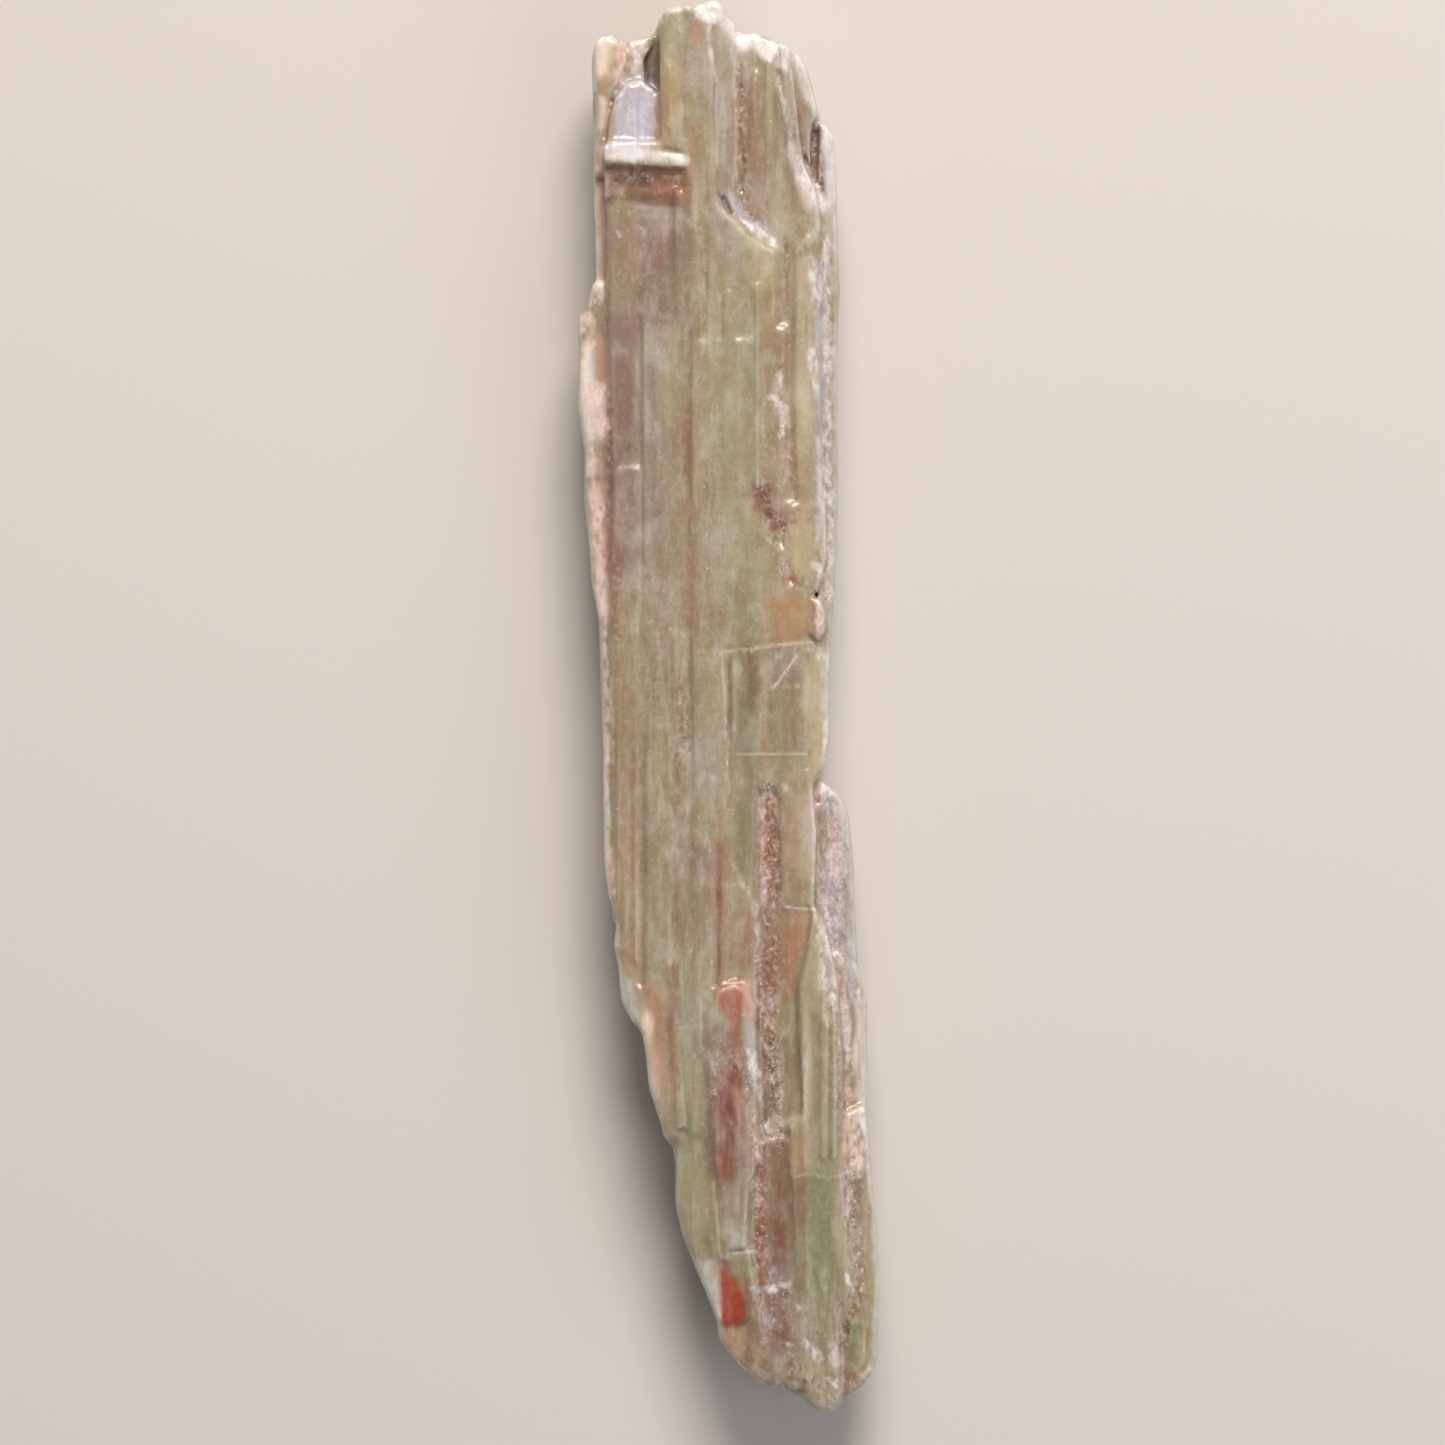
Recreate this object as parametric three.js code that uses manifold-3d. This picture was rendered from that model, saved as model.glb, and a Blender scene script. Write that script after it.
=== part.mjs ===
// A green kyanite cluster: one natural mineral specimen of long flat blades, all grown
// parallel and fused into a single slab, broken at both ends and rounded by wear.
// Millimetres, +Z up. The blades run along Y, and the slab lies on two flat cleavage faces at
// z = 0. The origin is on that resting plane, below the middle of the specimen.
import * as THREE from "three";
import { mergeVertices } from "three/addons/utils/BufferGeometryUtils.js";
import Module from "manifold-3d";

const wasm = await Module();
wasm.setup();

// Driving dimensions of the slab.
const THICKNESS = 9.0; // resting plane to the highest blade
const ROOT = 4.6; // every face blade is rooted in the slab at this height
const WEAR = 0.3; // usual chamfer that wear leaves along a blade's edges
const WEAR_FINE = 0.15;
const SLIVER = 0.02; // facets thinner than this are closed up after the blades are joined
const SPINE_X = -0.9; // the cluster's spine is straight in the +Y half
const SPINE_BEND = 0.0031; // and bends towards +X by this times y squared in the -Y half
const LATH_RISE = 0.14; // how far a fine lath stands above its neighbour

// The outline of the whole cluster seen from above, clockwise from the left end blade.
const CLUSTER_OUTLINE = [
  [-9.5, 41.2], [-9.5, 46.1], [-9.2, 46.8], [-8.5, 47], [-7.8, 47], [-7.3, 46.6], [-6.7, 46.8],
  [-5.2, 47.2], [-4.8, 48.3], [-4.3, 48.8], [-3.6, 49.1], [-2, 49.2], [-1.7, 49.4], [-0.8, 49.4],
  [-0.4, 49.1], [0, 48.3], [0.8, 47.3], [2, 47.1], [3, 46.9], [4.4, 46.1], [5, 45.5], [5.5, 44.7],
  [5.9, 43.3], [6.5, 41.2], [7, 40.7], [7.4, 39.8], [7.6, 35.6], [7.8, 29.3], [7.6, 25.2],
  [7.7, 18.1], [7.7, 14.6], [7.6, 10.4], [7.1, 3.4], [7.2, 0.6], [7, -2.6], [6.6, -4.9],
  [7.4, -5.7], [8.1, -6.4], [8.5, -7.6], [8.8, -12], [9, -16.2], [9.2, -19.4], [9.7, -20.3],
  [9.7, -27.8], [9.9, -31.6], [10.3, -35.8], [10.6, -41.1], [10.5, -44.6], [10.2, -46.3],
  [9.7, -47.3], [8.5, -48.2], [7.8, -49], [6.7, -49.4], [6, -49.1], [5.3, -48.3], [4.3, -48],
  [3.8, -47.3], [3.1, -47.6], [2.2, -47.2], [0.8, -45.9], [-0.2, -44.9], [-0.7, -44.1],
  [-0.8, -43], [-1.8, -40.4], [-3.2, -36.9], [-3.7, -34.8], [-3.7, -32], [-3.9, -30.7],
  [-4.5, -30.1], [-4.8, -28.7], [-5.5, -26.4], [-5.8, -23.1], [-6.9, -21.7], [-7.5, -20.4],
  [-7.6, -18.7], [-8, -16.6], [-7.8, -15], [-8.4, -13.1], [-8.7, -10.6], [-8.7, -6.4],
  [-8.9, 1.3], [-9.1, 6.9], [-9.6, 9], [-9.7, 11.4], [-10.1, 14.6], [-10.1, 18.1],
  [-10.6, 21.2], [-10.4, 24.4], [-10.6, 26.5], [-10.4, 27.5], [-9.8, 27.9], [-9.6, 29.4],
  [-9.2, 29.9], [-9.2, 33.5],
];

// The blades of the upper face. Each is a plan outline, the height of its flat top, and the
// slope of that top along x and y. They are listed from the +Y end to the -Y end.
const FACE_BLADES = [
  // The broken +Y end, where each blade stops at its own length.
  { name: "honey end blade", top: 8.75, slope: [0.02, 0.01], plan: [[-4.8, 38.9], [-4.8, 47.9],
    [-4.4, 48.7], [-3.6, 49], [-2.8, 49], [-2.7, 45.4], [-2.7, 37.8], [-3.1, 38.6]] },
  { name: "tall end blade", top: 8.78, slope: [0.03, 0.018], plan: [[-3.1, 26.5], [-3.1, 49],
    [-1.7, 49.1], [-1.2, 48], [-0.9, 45.4], [-0.8, 41.2], [-0.7, 35.9], [-0.4, 26.5]] },
  { name: "cap blade", top: 8.25, slope: [-0.04, 0], plan: [[-1.4, 48.6], [-1.7, 49.3],
    [-0.8, 49.4], [-0.3, 49.1], [0, 48.3], [0.5, 47.7], [0.6, 45.4], [0.8, 33.6],
    [-0.9, 34.6], [-0.9, 42.6]] },
  { name: "olive end blade", top: 8.1, slope: [0.03, -0.015], plan: [[1.1, 45.4], [1, 47.1],
    [2, 47.1], [3, 46.8], [3.6, 46.2], [3.9, 42.6], [4.1, 39.1], [4.7, 36.3], [5, 33.3],
    [4.2, 31.2], [3.2, 31.2], [2, 32.2], [0.7, 33.4]] },
  { name: "ridge blade", top: 8.35, slope: [-0.06, 0], fine: true, plan: [[3.6, 46.3],
    [4.3, 46.1], [4.6, 44.3], [4.9, 41.2], [5.3, 38], [6.1, 36.3], [6.5, 33.7], [5.9, 28.6],
    [5, 28.6], [4.9, 33.1], [4.5, 36.3], [4, 39.1], [3.8, 42.6]] },
  { name: "grey end blade", top: 7.5, slope: [-0.1, 0], fine: true, plan: [[4.3, 46],
    [5, 45.5], [5.5, 44.7], [5.9, 43.3], [6.4, 41.5], [5.9, 40.8], [5.7, 38], [5.3, 39.1],
    [4.8, 41.9], [4.5, 44.3]] },
  { name: "pitted seam", top: 7.95, slope: [0, 0.01], fine: true, plan: [[0.3, 47], [1.5, 46.7],
    [1.6, 40.2], [1.9, 34.6], [0.4, 33.8], [0.4, 40.6]] },
  { name: "rim seam", top: 7, slope: [0, 0], fine: true, plan: [[5.3, 36.2], [5.5, 40.9],
    [6.6, 40.8], [6.6, 36.2]] },
  { name: "right rim blade", top: 7.45, slope: [-0.15, 0], fine: true, plan: [[6.4, 41],
    [6.9, 40.7], [7.4, 39.9], [7.6, 37], [7.7, 31.4], [7.7, 28.6], [6.9, 28.6], [6.4, 33.5],
    [6.2, 36.6], [6.3, 39.1]] },
  { name: "left knob blade", top: 7.8, slope: [-0.03, 0.01], plan: [[-9.4, 37.2],
    [-9.2, 41.8], [-9.5, 43.4], [-9.5, 45.6], [-9.2, 46.6], [-8.7, 47], [-8.1, 47],
    [-7.5, 46.6], [-7.1, 45.7], [-7.1, 44.8], [-7.6, 43.6], [-8.2, 42.4], [-8.5, 40.5],
    [-8.6, 37.2]] },
  { name: "knob web", top: 7.35, slope: [0, -0.03], fine: true, plan: [[-9, 38.8],
    [-8.9, 43.2], [-7.9, 44.6], [-6.9, 44.9], [-6.7, 43.2], [-7.8, 38.8]] },
  { name: "lavender stub", top: 7.1, slope: [0, -0.05], fine: true, plan: [[-7.4, 44.7],
    [-7, 46.5], [-6.2, 46.8], [-5.3, 47], [-5.3, 46.2], [-5.8, 45.2], [-5.8, 43.3],
    [-7.2, 43.3]] },
  { name: "lavender plate", top: 8.1, slope: [-0.04, -0.09], fine: true, plan: [[-8.5, 39.1],
    [-8.3, 41], [-7.9, 42.6], [-7.2, 43.6], [-6.3, 43.9], [-5.5, 43.7], [-4.9, 42.9],
    [-4.6, 39.1]] },
  { name: "plate ledge", top: 8.7, slope: [-0.02, -0.06], fine: true, plan: [[-8.7, 39.1],
    [-8.3, 39.5], [-4.7, 39.6], [-4.6, 38.7], [-3.2, 38.6], [-2.7, 38.1], [-2.8, 37.6],
    [-5.5, 37.7], [-7.2, 37.9], [-8.6, 38]] },
  { name: "stained recess", top: 8.15, slope: [0.02, -0.04], fine: true, plan: [[-8.6, 38.1],
    [-2.7, 37.9], [-2.7, 35.6], [-8.6, 35.6]] },
  // The long panels of the upper face.
  { name: "left panel, upper", top: 8.04, slope: [0.05, -0.004], plan: [[-8.5, 35.9], [-7.7, 36.4],
    [-6.1, 36.2], [-6, 27.2], [-6, 16.6], [-8.1, 16.6], [-8.4, 21.6], [-8.5, 28.6]] },
  { name: "left panel, lower", top: 8.1, slope: [0.07, 0.006], plan: [[-8.1, 17], [-5.9, 17],
    [-5.9, -13.4], [-6, -20.8], [-7.3, -20.8], [-7.8, -14.8], [-8.1, -6.4], [-8.3, 6.2]] },
  { name: "mauve panel", top: 8.22, slope: [0.04, -0.03], plan: [[-6.3, 36.5], [-3.7, 36.2],
    [-3.7, 27.2], [-6.3, 27.2]] },
  { name: "grey panel, upper", top: 8.4, slope: [0.03, 0], plan: [[-6.1, 27.6], [-3.6, 27.6],
    [-3.5, 16.7], [-3.8, 7.6], [-6.1, 7.6]] },
  { name: "grey panel, lower", top: 8.38, slope: [0.03, 0], plan: [[-6.1, 9.2], [-3.8, 9.2],
    [-3.8, -9.2], [-3.7, -13.4], [-3.4, -22.3], [-2.8, -29.3], [-3.7, -29.7], [-4.2, -23.6],
    [-5, -21], [-6, -19.7]] },
  { name: "sunken blade", top: 8.46, slope: [0.04, 0.004], plan: [[-3.9, 36.3], [-2.5, 36.3],
    [-2.5, 10.4], [-2.7, 0.6], [-2.4, -13.4], [-1.6, -30.2], [-2.8, -30.2], [-3.6, -21.8],
    [-4, -9.9], [-4, 7.6]] },
  { name: "central blade, upper", top: 8.65, slope: [-0.03, 0.005], plan: [[-2.8, 37.2],
    [-0.9, 36.3], [-0.4, 35.1], [0.7, 34], [1.7, 33], [2.8, 32.3], [3.5, 32.1], [3.5, 26.5],
    [2.2, 25.5], [-2.8, 25.5]] },
  { name: "central blade, middle", top: 8.7, slope: [-0.02, 0.004], plan: [[-2.8, 25.9],
    [2.4, 26], [2.6, 21.9], [2.4, 16], [1.6, 15.4], [1.9, 12.7], [-0.7, 12.5], [-2.8, 11.8]] },
  { name: "central blade, lower", top: 8.56, slope: [-0.02, 0.008], plan: [[-2.8, 13.4],
    [-0.7, 13.7], [1.9, 13.7], [3, 11.9], [4.3, 11], [4.4, 4], [0.1, 4], [0, -5.7],
    [-2.6, -5.7]] },
  { name: "rusty filling", top: 8.36, slope: [-0.04, 0], fine: true, plan: [[1.5, 16.3],
    [4.2, 15.9], [4.3, 13.2], [3.7, 11.3], [2.4, 11.6], [1.6, 13]] },
  { name: "white-ridged blade", top: 8.52, slope: [0.05, 0], fine: true, plan: [[2.2, 26.3],
    [4.1, 26.7], [4.1, 23.3], [3.6, 21.9], [4.1, 19.5], [3.9, 16.7], [3.6, 15.1],
    [2.2, 15.5]] },
  { name: "pink seam", top: 8.2, slope: [0.02, 0], fine: true, plan: [[3.2, 32.4], [4.9, 33],
    [5, 20], [5, 13.6], [3.7, 13.7], [3.4, 20]] },
  { name: "yellow strip", top: 8.45, slope: [-0.06, 0], plan: [[4.5, 32.3], [5.9, 33.3],
    [6.3, 28.6], [6.5, 20.2], [6.6, 14], [4.8, 13.7], [4.4, 21.6], [4.5, 27.2]] },
  { name: "granular rim", top: 7.55, slope: [-0.4, 0], fine: true, plan: [[6.1, 33.1],
    [7, 33.8], [7.7, 29.3], [7.6, 26.5], [7.6, 21.6], [7.7, 16], [7.6, 10.4], [7.2, 4.6],
    [6.3, 4.6], [6.3, 20.2]] },
  { name: "butter plate", top: 8.48, slope: [-0.03, 0.01], fine: true, plan: [[4.1, 14.3],
    [6.8, 14.3], [6.9, 10.4], [6.3, 8.1], [4.6, 8.6], [3.9, 11.2]] },
  { name: "honey plate", top: 8.55, slope: [-0.02, -0.01], plan: [[2.8, 9.2], [4.3, 8.9],
    [6, 8.6], [6.1, 4.9], [2.9, 4.5], [0.7, 4.3], [-0.6, 4.1], [-0.4, 7.6], [0.8, 8.3]] },
  { name: "cream crystal", top: 8.6, slope: [-0.05, 0], fine: true, plan: [[5.9, 7.7],
    [6.4, 7.6], [6.8, 6.7], [6.8, 5.3], [6.4, 4.7], [5.9, 5]] },
  { name: "glassy blade", top: 8.5, slope: [-0.03, 0], plan: [[0, 5.1], [3.1, 5.3],
    [5.7, 5.5], [5.9, 1.3], [5.6, -3.1], [1, -3.4], [0, -2.6]] },
  { name: "pale shoulder", top: 8.1, slope: [-0.2, 0], plan: [[5.5, 5.4], [6.8, 5.2],
    [7.1, 4.1], [7.2, 0.6], [7.1, -2.6], [6.7, -4.2], [6, -5.3], [5.3, -5.3], [5.5, 0.6]] },
  { name: "green step", top: 8.44, slope: [-0.03, 0.01], plan: [[-0.1, -1.9], [1, -2.6],
    [5.5, -2.4], [5.5, -5.1], [3.5, -5.5], [2.7, -5.9], [-0.1, -6.2]] },
  // The lower half, where shorter blades overlap in echelon.
  { name: "grey-green blade", top: 8.46, slope: [-0.04, 0], plan: [[-2.6, -4.6], [-0.3, -4.6],
    [-0.6, -11.3], [-0.7, -18.3], [-1.2, -21.1], [-1, -28], [-1, -30.9], [-2.7, -29.5],
    [-2.7, -13.4]] },
  { name: "pocket blade", top: 8.38, slope: [0.02, 0.01], plan: [[-0.4, -4.6], [2.1, -5],
    [2, -13.4], [2, -20.1], [1.1, -20.2], [-1, -20.3], [-0.7, -12]] },
  { name: "tan blade", top: 8.2, slope: [0.06, 0.03], plan: [[-6.6, -19.2], [-4.6, -19.6],
    [-3.5, -20.9], [-3.3, -30.2], [-4.3, -30.2], [-4.8, -28.7], [-5.5, -26.4],
    [-5.7, -24.6]] },
  { name: "lower left edge", top: 7.96, slope: [0.2, 0], fine: true, plan: [[-7.8, -15.2],
    [-7.2, -14.8], [-5.9, -20.4], [-5.5, -23.3], [-6.8, -21.7], [-7.4, -20.6], [-7.6, -18.5],
    [-7.9, -16.6]] },
  { name: "red-brown blade", top: 8.85, slope: [-0.02, 0.005], plan: [[-0.8, -19.5],
    [0.5, -19], [1.3, -19.5], [2, -20.9], [2.1, -24.6], [2.1, -31.6], [1.6, -34.4],
    [1.4, -37.8], [-0.4, -38.1], [-0.5, -34.4], [-1.1, -31.6], [-1.6, -24.6],
    [-1.6, -21.3]] },
  { name: "pale strip", top: 8.4, slope: [-0.03, 0], fine: true, plan: [[3.6, -4.8],
    [5.8, -4.2], [6.2, -8.5], [6, -13.9], [3.6, -14]] },
  { name: "honey strip", top: 8.2, slope: [0.05, 0], fine: true, plan: [[3.7, -13.9],
    [5.9, -13.9], [5.6, -16.6], [5, -19.4], [4.9, -21.1], [4.1, -19.4]] },
  { name: "gravel groove", top: 8.2, slope: [0.02, 0], fine: true, plan: [[1.7, -4.9],
    [3.9, -4.7], [4, -13.8], [4.4, -19.4], [5.1, -21.1], [5.5, -28.3], [4.6, -28.8],
    [4.5, -31.8], [1.8, -31.8], [1.9, -20.4]] },
  { name: "green blade", top: 8.8, slope: [-0.04, 0.01], plan: [[5.9, -13.7], [6.7, -14.8],
    [7.7, -19.4], [8, -24.6], [8.1, -32.8], [4.2, -32.8], [4.2, -29], [5.2, -28.3],
    [4.8, -21.3], [4.9, -19.4], [5.5, -16.6]] },
  { name: "grey flank, upper", top: 7.15, slope: [-0.3, 0], fine: true, plan: [[6.5, -5.1],
    [7.3, -5.7], [8, -6.5], [8.5, -7.7], [8.8, -11.3], [9, -17.6], [7.7, -17.8],
    [6.8, -15.4], [6, -13.8], [6.1, -8.5]] },
  { name: "grey flank, lower", top: 7, slope: [-0.35, 0], fine: true, plan: [[7.5, -16.9],
    [9, -18], [9.7, -20.4], [9.7, -27.9], [8.3, -28.1], [7.9, -27.1], [7.6, -19.4]] },
  { name: "cream chunk", top: 8.1, slope: [-0.12, 0], fine: true, plan: [[8.2, -28.3],
    [9.6, -27.6], [9.9, -30.9], [10.1, -33.4], [9.2, -33.9], [8.3, -32.5]] },
  // The -Y end.
  { name: "green tail blade", top: 8.16, slope: [0.16, 0.005], plan: [[-3.6, -30.7],
    [-4.1, -29.5], [-2.8, -28.9], [-1.5, -29.6], [-0.9, -33.7], [-0.4, -36.2], [-0.5, -43.1],
    [-1.8, -40.3], [-2.5, -38.4], [-3.2, -36.8], [-3.6, -35]] },
  { name: "rust floor", top: 8.33, slope: [0, 0.05], fine: true, plan: [[-0.6, -37.9],
    [1.6, -37.6], [2.2, -42.8], [-0.6, -43]] },
  { name: "olive foot", top: 7.94, slope: [0.02, 0.11], plan: [[-0.7, -42], [1.4, -41.8],
    [2.4, -42.5], [3.6, -47.5], [3.1, -47.6], [2.2, -47.1], [0.8, -45.9], [-0.1, -44.9],
    [-0.6, -44.1]] },
  { name: "mauve strip", top: 8.1, slope: [0.03, 0.025], fine: true, plan: [[1.3, -30.2],
    [4.6, -29.9], [4.8, -47.7], [3.9, -47.3], [3.3, -47.3], [1.6, -43.5]] },
  { name: "tail infill", top: 8.36, slope: [0.22, 0], fine: true, plan: [[-3, -28.9],
    [-0.6, -28.6], [-0.3, -34.6], [-0.1, -38.5], [-1.3, -38.2], [-2.3, -33.2]] },
  { name: "foot groove", top: 7.98, slope: [-0.05, 0.01], fine: true, plan: [[7.9, -32.2],
    [9.6, -32.6], [9.8, -37.8], [9.9, -43.3], [7.7, -43.3]] },
  { name: "broad foot blade", top: 8.48, slope: [-0.04, 0.045], plan: [[4.3, -31.6],
    [8.1, -31.6], [8.6, -37.2], [8.8, -40.9], [7.7, -42.1], [6.4, -42.8], [5, -42.8],
    [4.5, -38.6]] },
  { name: "foot tongue", top: 7.94, slope: [-0.02, 0.12], plan: [[4.5, -41.6], [6.4, -41.5],
    [7.8, -40.9], [8.1, -48.1], [7.5, -49.1], [6.7, -49.3], [5.9, -48.9], [5.2, -48.2],
    [4.5, -47.7]] },
  { name: "right rim foot", top: 7.85, slope: [-0.15, 0], fine: true, plan: [[9.3, -33.5],
    [10.1, -33.2], [10.4, -36.2], [10.6, -40.7], [10.5, -42.7], [9.5, -42.8], [9.1, -37.9]] },
  { name: "corner blade", top: 7.65, slope: [-0.08, 0.08], plan: [[8.1, -41.9], [9.4, -41.8],
    [10.5, -42], [10.5, -45.3], [10.1, -46.5], [9.4, -47.5], [8.4, -48.2], [8.1, -47.7]] },
  // The worn cream edge on the left.
  { name: "cream edge, upper", top: 7.4, slope: [0.2, 0], fine: true, plan: [[-9.7, 28.6],
    [-9.4, 29.7], [-8.8, 29.8], [-8.4, 28.6], [-8.3, 21.6], [-8, 19.8], [-8.2, 16],
    [-10, 16], [-10, 18.1], [-10.5, 20.9], [-10.3, 24.7], [-10.5, 26.1], [-10.4, 27.4],
    [-9.8, 27.8]] },
  { name: "cream edge, middle", top: 7.3, slope: [0.3, 0], fine: true, plan: [[-10, 16.2],
    [-8, 16.2], [-8.1, 10.4], [-8.2, 6], [-9, 6], [-9.5, 8.6], [-9.7, 11.1]] },
  { name: "cream edge, lower", top: 7.4, slope: [0.3, 0], fine: true, plan: [[-9, 6.3],
    [-8.1, 6.3], [-8, -5], [-7.7, -13.7], [-8.3, -13.2], [-8.6, -11.3], [-8.7, -6.4],
    [-8.8, 1.3]] },
  { name: "left edge strip", top: 6.9, slope: [0.2, 0], fine: true, plan: [[-9.4, 37.9],
    [-8.6, 37.9], [-8.3, 29.4], [-9.2, 29.4]] },
];

// Long blades under the face blades. Their tops are the floors of the grooves and steps.
const FLOOR_BLADES = [
  { x: [-8.6, -3.9], y: [-23.5, 41], top: 7.4 },
  { x: [-4.2, 1.2], y: [-39, 46.4], top: 7.6 },
  { x: [0.6, 5], y: [-45.5, 45], top: 7.3 },
  { x: [4.7, 8.2], y: [-47.2, -4.6], top: 7 },
  { x: [3.4, 6.9], y: [-5.2, 40.5], top: 6.9 },
  { x: [7.8, 9.6], y: [-46, -27.5], top: 6.8 },
];

// The cleavage sheets of the slab's middle, from the lowest up. Each is inset by between the
// least and the most share of the half width, in waves along y.
const SHEETS = [
  { low: 2.9, high: 4.1, least: 0.05, most: 0.13, wave: 0.31 },
  { low: 3.9, high: 5, least: 0.01, most: 0.07, wave: 0.23 },
  { low: 4.8, high: 5.9, least: 0, most: 0, wave: 0 },
  { low: 5.7, high: 6.5, least: 0.005, most: 0.045, wave: 0.37 },
];

// Where fine laths stand on broad faces: x range, y range, height and slope of that face
// along x, and how many laths there are across it.
const LATH_FIELDS = [
  { x: [-8.1, -6.1], y: [17, 35.6], top: 8, slope: 0.05, count: 3 },
  { x: [-7.9, -6.2], y: [-18, 16.4], top: 8.1, slope: 0.07, count: 3 },
  { x: [-6, -3.9], y: [8.2, 27], top: 8.4, slope: 0.03, count: 3 },
  { x: [-5.9, -3.9], y: [-20, 7.4], top: 8.38, slope: 0.03, count: 3 },
  { x: [-2.6, 2.4], y: [12.8, 32], top: 8.7, slope: -0.02, count: 5 },
  { x: [-2.4, -0.1], y: [-29, 12], top: 8.45, slope: -0.03, count: 3 },
  { x: [0.1, 5.4], y: [-3, 4], top: 8.52, slope: -0.03, count: 4 },
  { x: [4.6, 6.2], y: [14.2, 31.5], top: 8.45, slope: -0.06, count: 2 },
  { x: [-1.1, 1.8], y: [-36, -20.6], top: 8.85, slope: -0.02, count: 3 },
  { x: [2.4, 4.6], y: [-30, -6.2], top: 8.2, slope: 0.02, count: 3 },
  { x: [5, 7.9], y: [-32.4, -20], top: 8.85, slope: -0.04, count: 3 },
  { x: [4.7, 8.3], y: [-41, -32.8], top: 8.42, slope: -0.04, count: 3 },
  { x: [1.5, 3.9], y: [35, 45.4], top: 8.1, slope: 0.03, count: 3 },
  { x: [-4.5, -2.8], y: [39.2, 47.5], top: 8.75, slope: 0.02, count: 2 },
  { x: [-2.6, -1.6], y: [-37.6, -31], top: 7.9, slope: 0.1, count: 2 },
  { x: [2.1, 4.2], y: [-44.6, -32], top: 7.98, slope: 0.03, count: 3 },
];

// The blades of the underside: x range, y range, the height of the flat lower face and how
// much that face falls along x. The two at z = 0 are the faces that the specimen rests on.
const UNDER_BLADES = [
  { x: [-9.3, -7.5], y: [9, 25], low: 2.9, fall: -0.3 },
  { x: [-8.5, -7.2], y: [-11, 3], low: 2.3, fall: -0.35 },
  { x: [-8.1, -5.3], y: [-16.5, 12.5], low: 1.4, fall: -0.16 },
  { x: [-8, -6.4], y: [11.8, 32.5], low: 1.5, fall: -0.2 },
  { x: [-6.7, -5.2], y: [10.4, 28.2], low: 0.8, fall: -0.05 },
  { x: [-8.8, -6.6], y: [31, 44.5], low: 2.3, fall: -0.22 },
  { x: [-6.9, -4.8], y: [29.2, 45.3], low: 1.7, fall: -0.1 },
  { x: [-5.8, -2.3], y: [-24.5, 33], low: 0, fall: 0 },
  { x: [-5.1, -3.4], y: [32.2, 47], low: 1.1, fall: 0.08 },
  { x: [-3.6, -2], y: [31, 45.1], low: 0.9, fall: 0.1 },
  { x: [-2.7, -0.8], y: [3.4, 47.3], low: 0.7, fall: 0.04 },
  { x: [-1.1, 0.5], y: [11, 40.4], low: 0.95, fall: -0.08 },
  { x: [-2.8, -1], y: [-34, 6.6], low: 1.5, fall: -0.12 },
  { x: [-1.3, 0.4], y: [-37.2, 12], low: 1.05, fall: 0.05 },
  { x: [0.1, 2], y: [-20, 44.2], low: 0.4, fall: 0.05 },
  { x: [1.8, 3.5], y: [-13.5, 41], low: 0.6, fall: -0.05 },
  { x: [0.2, 1.9], y: [-41.4, -19], low: 1.3, fall: -0.1 },
  { x: [1.7, 3.4], y: [-44.3, -12.2], low: 0.9, fall: 0.07 },
  { x: [3.1, 6.2], y: [-39, 27], low: 0, fall: 0 },
  { x: [3.2, 4.8], y: [26, 43.4], low: 0.9, fall: 0.06 },
  { x: [4.6, 6.2], y: [25.1, 39.4], low: 1.2, fall: 0.15 },
  { x: [3.6, 5.3], y: [-46.8, -38], low: 1.6, fall: -0.1 },
  { x: [5.1, 6.8], y: [-47.6, -37.2], low: 1.3, fall: 0.05 },
  { x: [5.8, 7.1], y: [-1.5, 35], low: 1.7, fall: 0.25 },
  { x: [5.9, 8.2], y: [-44, -8], low: 0.9, fall: 0.12 },
  { x: [7.8, 9.4], y: [-43.5, -21], low: 2.1, fall: 0.25 },
];

// What has broken out of the upper face: a plan outline and the height it is open down to.
const BREAKS = [
  { name: "end cavity", floor: 6.3, plan: [[-5.8, 43.6], [-5.9, 45.3], [-5.2, 46.5],
    [-4.9, 47], [-4.9, 43.2]] },
  { name: "rim gap", floor: 6.7, plan: [[5.8, 40], [6.2, 41.4], [6.3, 38.9], [6.2, 36.6],
    [5.8, 36.8]] },
  { name: "diagonal hole", floor: 7.7, plan: [[-0.7, 36], [-0.2, 35.7], [0.4, 34.4],
    [0.1, 34.3]] },
  { name: "rust pit", floor: 8.5, plan: [[1.7, 15.4], [2.5, 15.2], [3.1, 14], [3.9, 13.5],
    [3.7, 12.3], [3.2, 11.6], [2.4, 12.2], [2, 13.4]] },
  { name: "long crack", floor: 7.3, plan: [[2.13, -17], [2.23, -17], [2.37, -20.5],
    [2.42, -24.8], [2.28, -24.8], [2.2, -20.5]] },
  { name: "foot notch", floor: -1, plan: [[4, -48.4], [3.55, -47.6], [3.75, -46.9],
    [4.05, -47.5]] },
];

// A closed geometry as a solid that can be joined and cut.
function solidOf(geometry) {
  const bare = geometry.index ? geometry.toNonIndexed() : geometry.clone();
  bare.deleteAttribute("normal");
  bare.deleteAttribute("uv");
  const merged = mergeVertices(bare, 1e-4);
  return new wasm.Manifold(
    new wasm.Mesh({
      numProp: 3,
      vertProperties: merged.attributes.position.array,
      triVerts: new Uint32Array(merged.index.array),
    }),
  );
}

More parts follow.
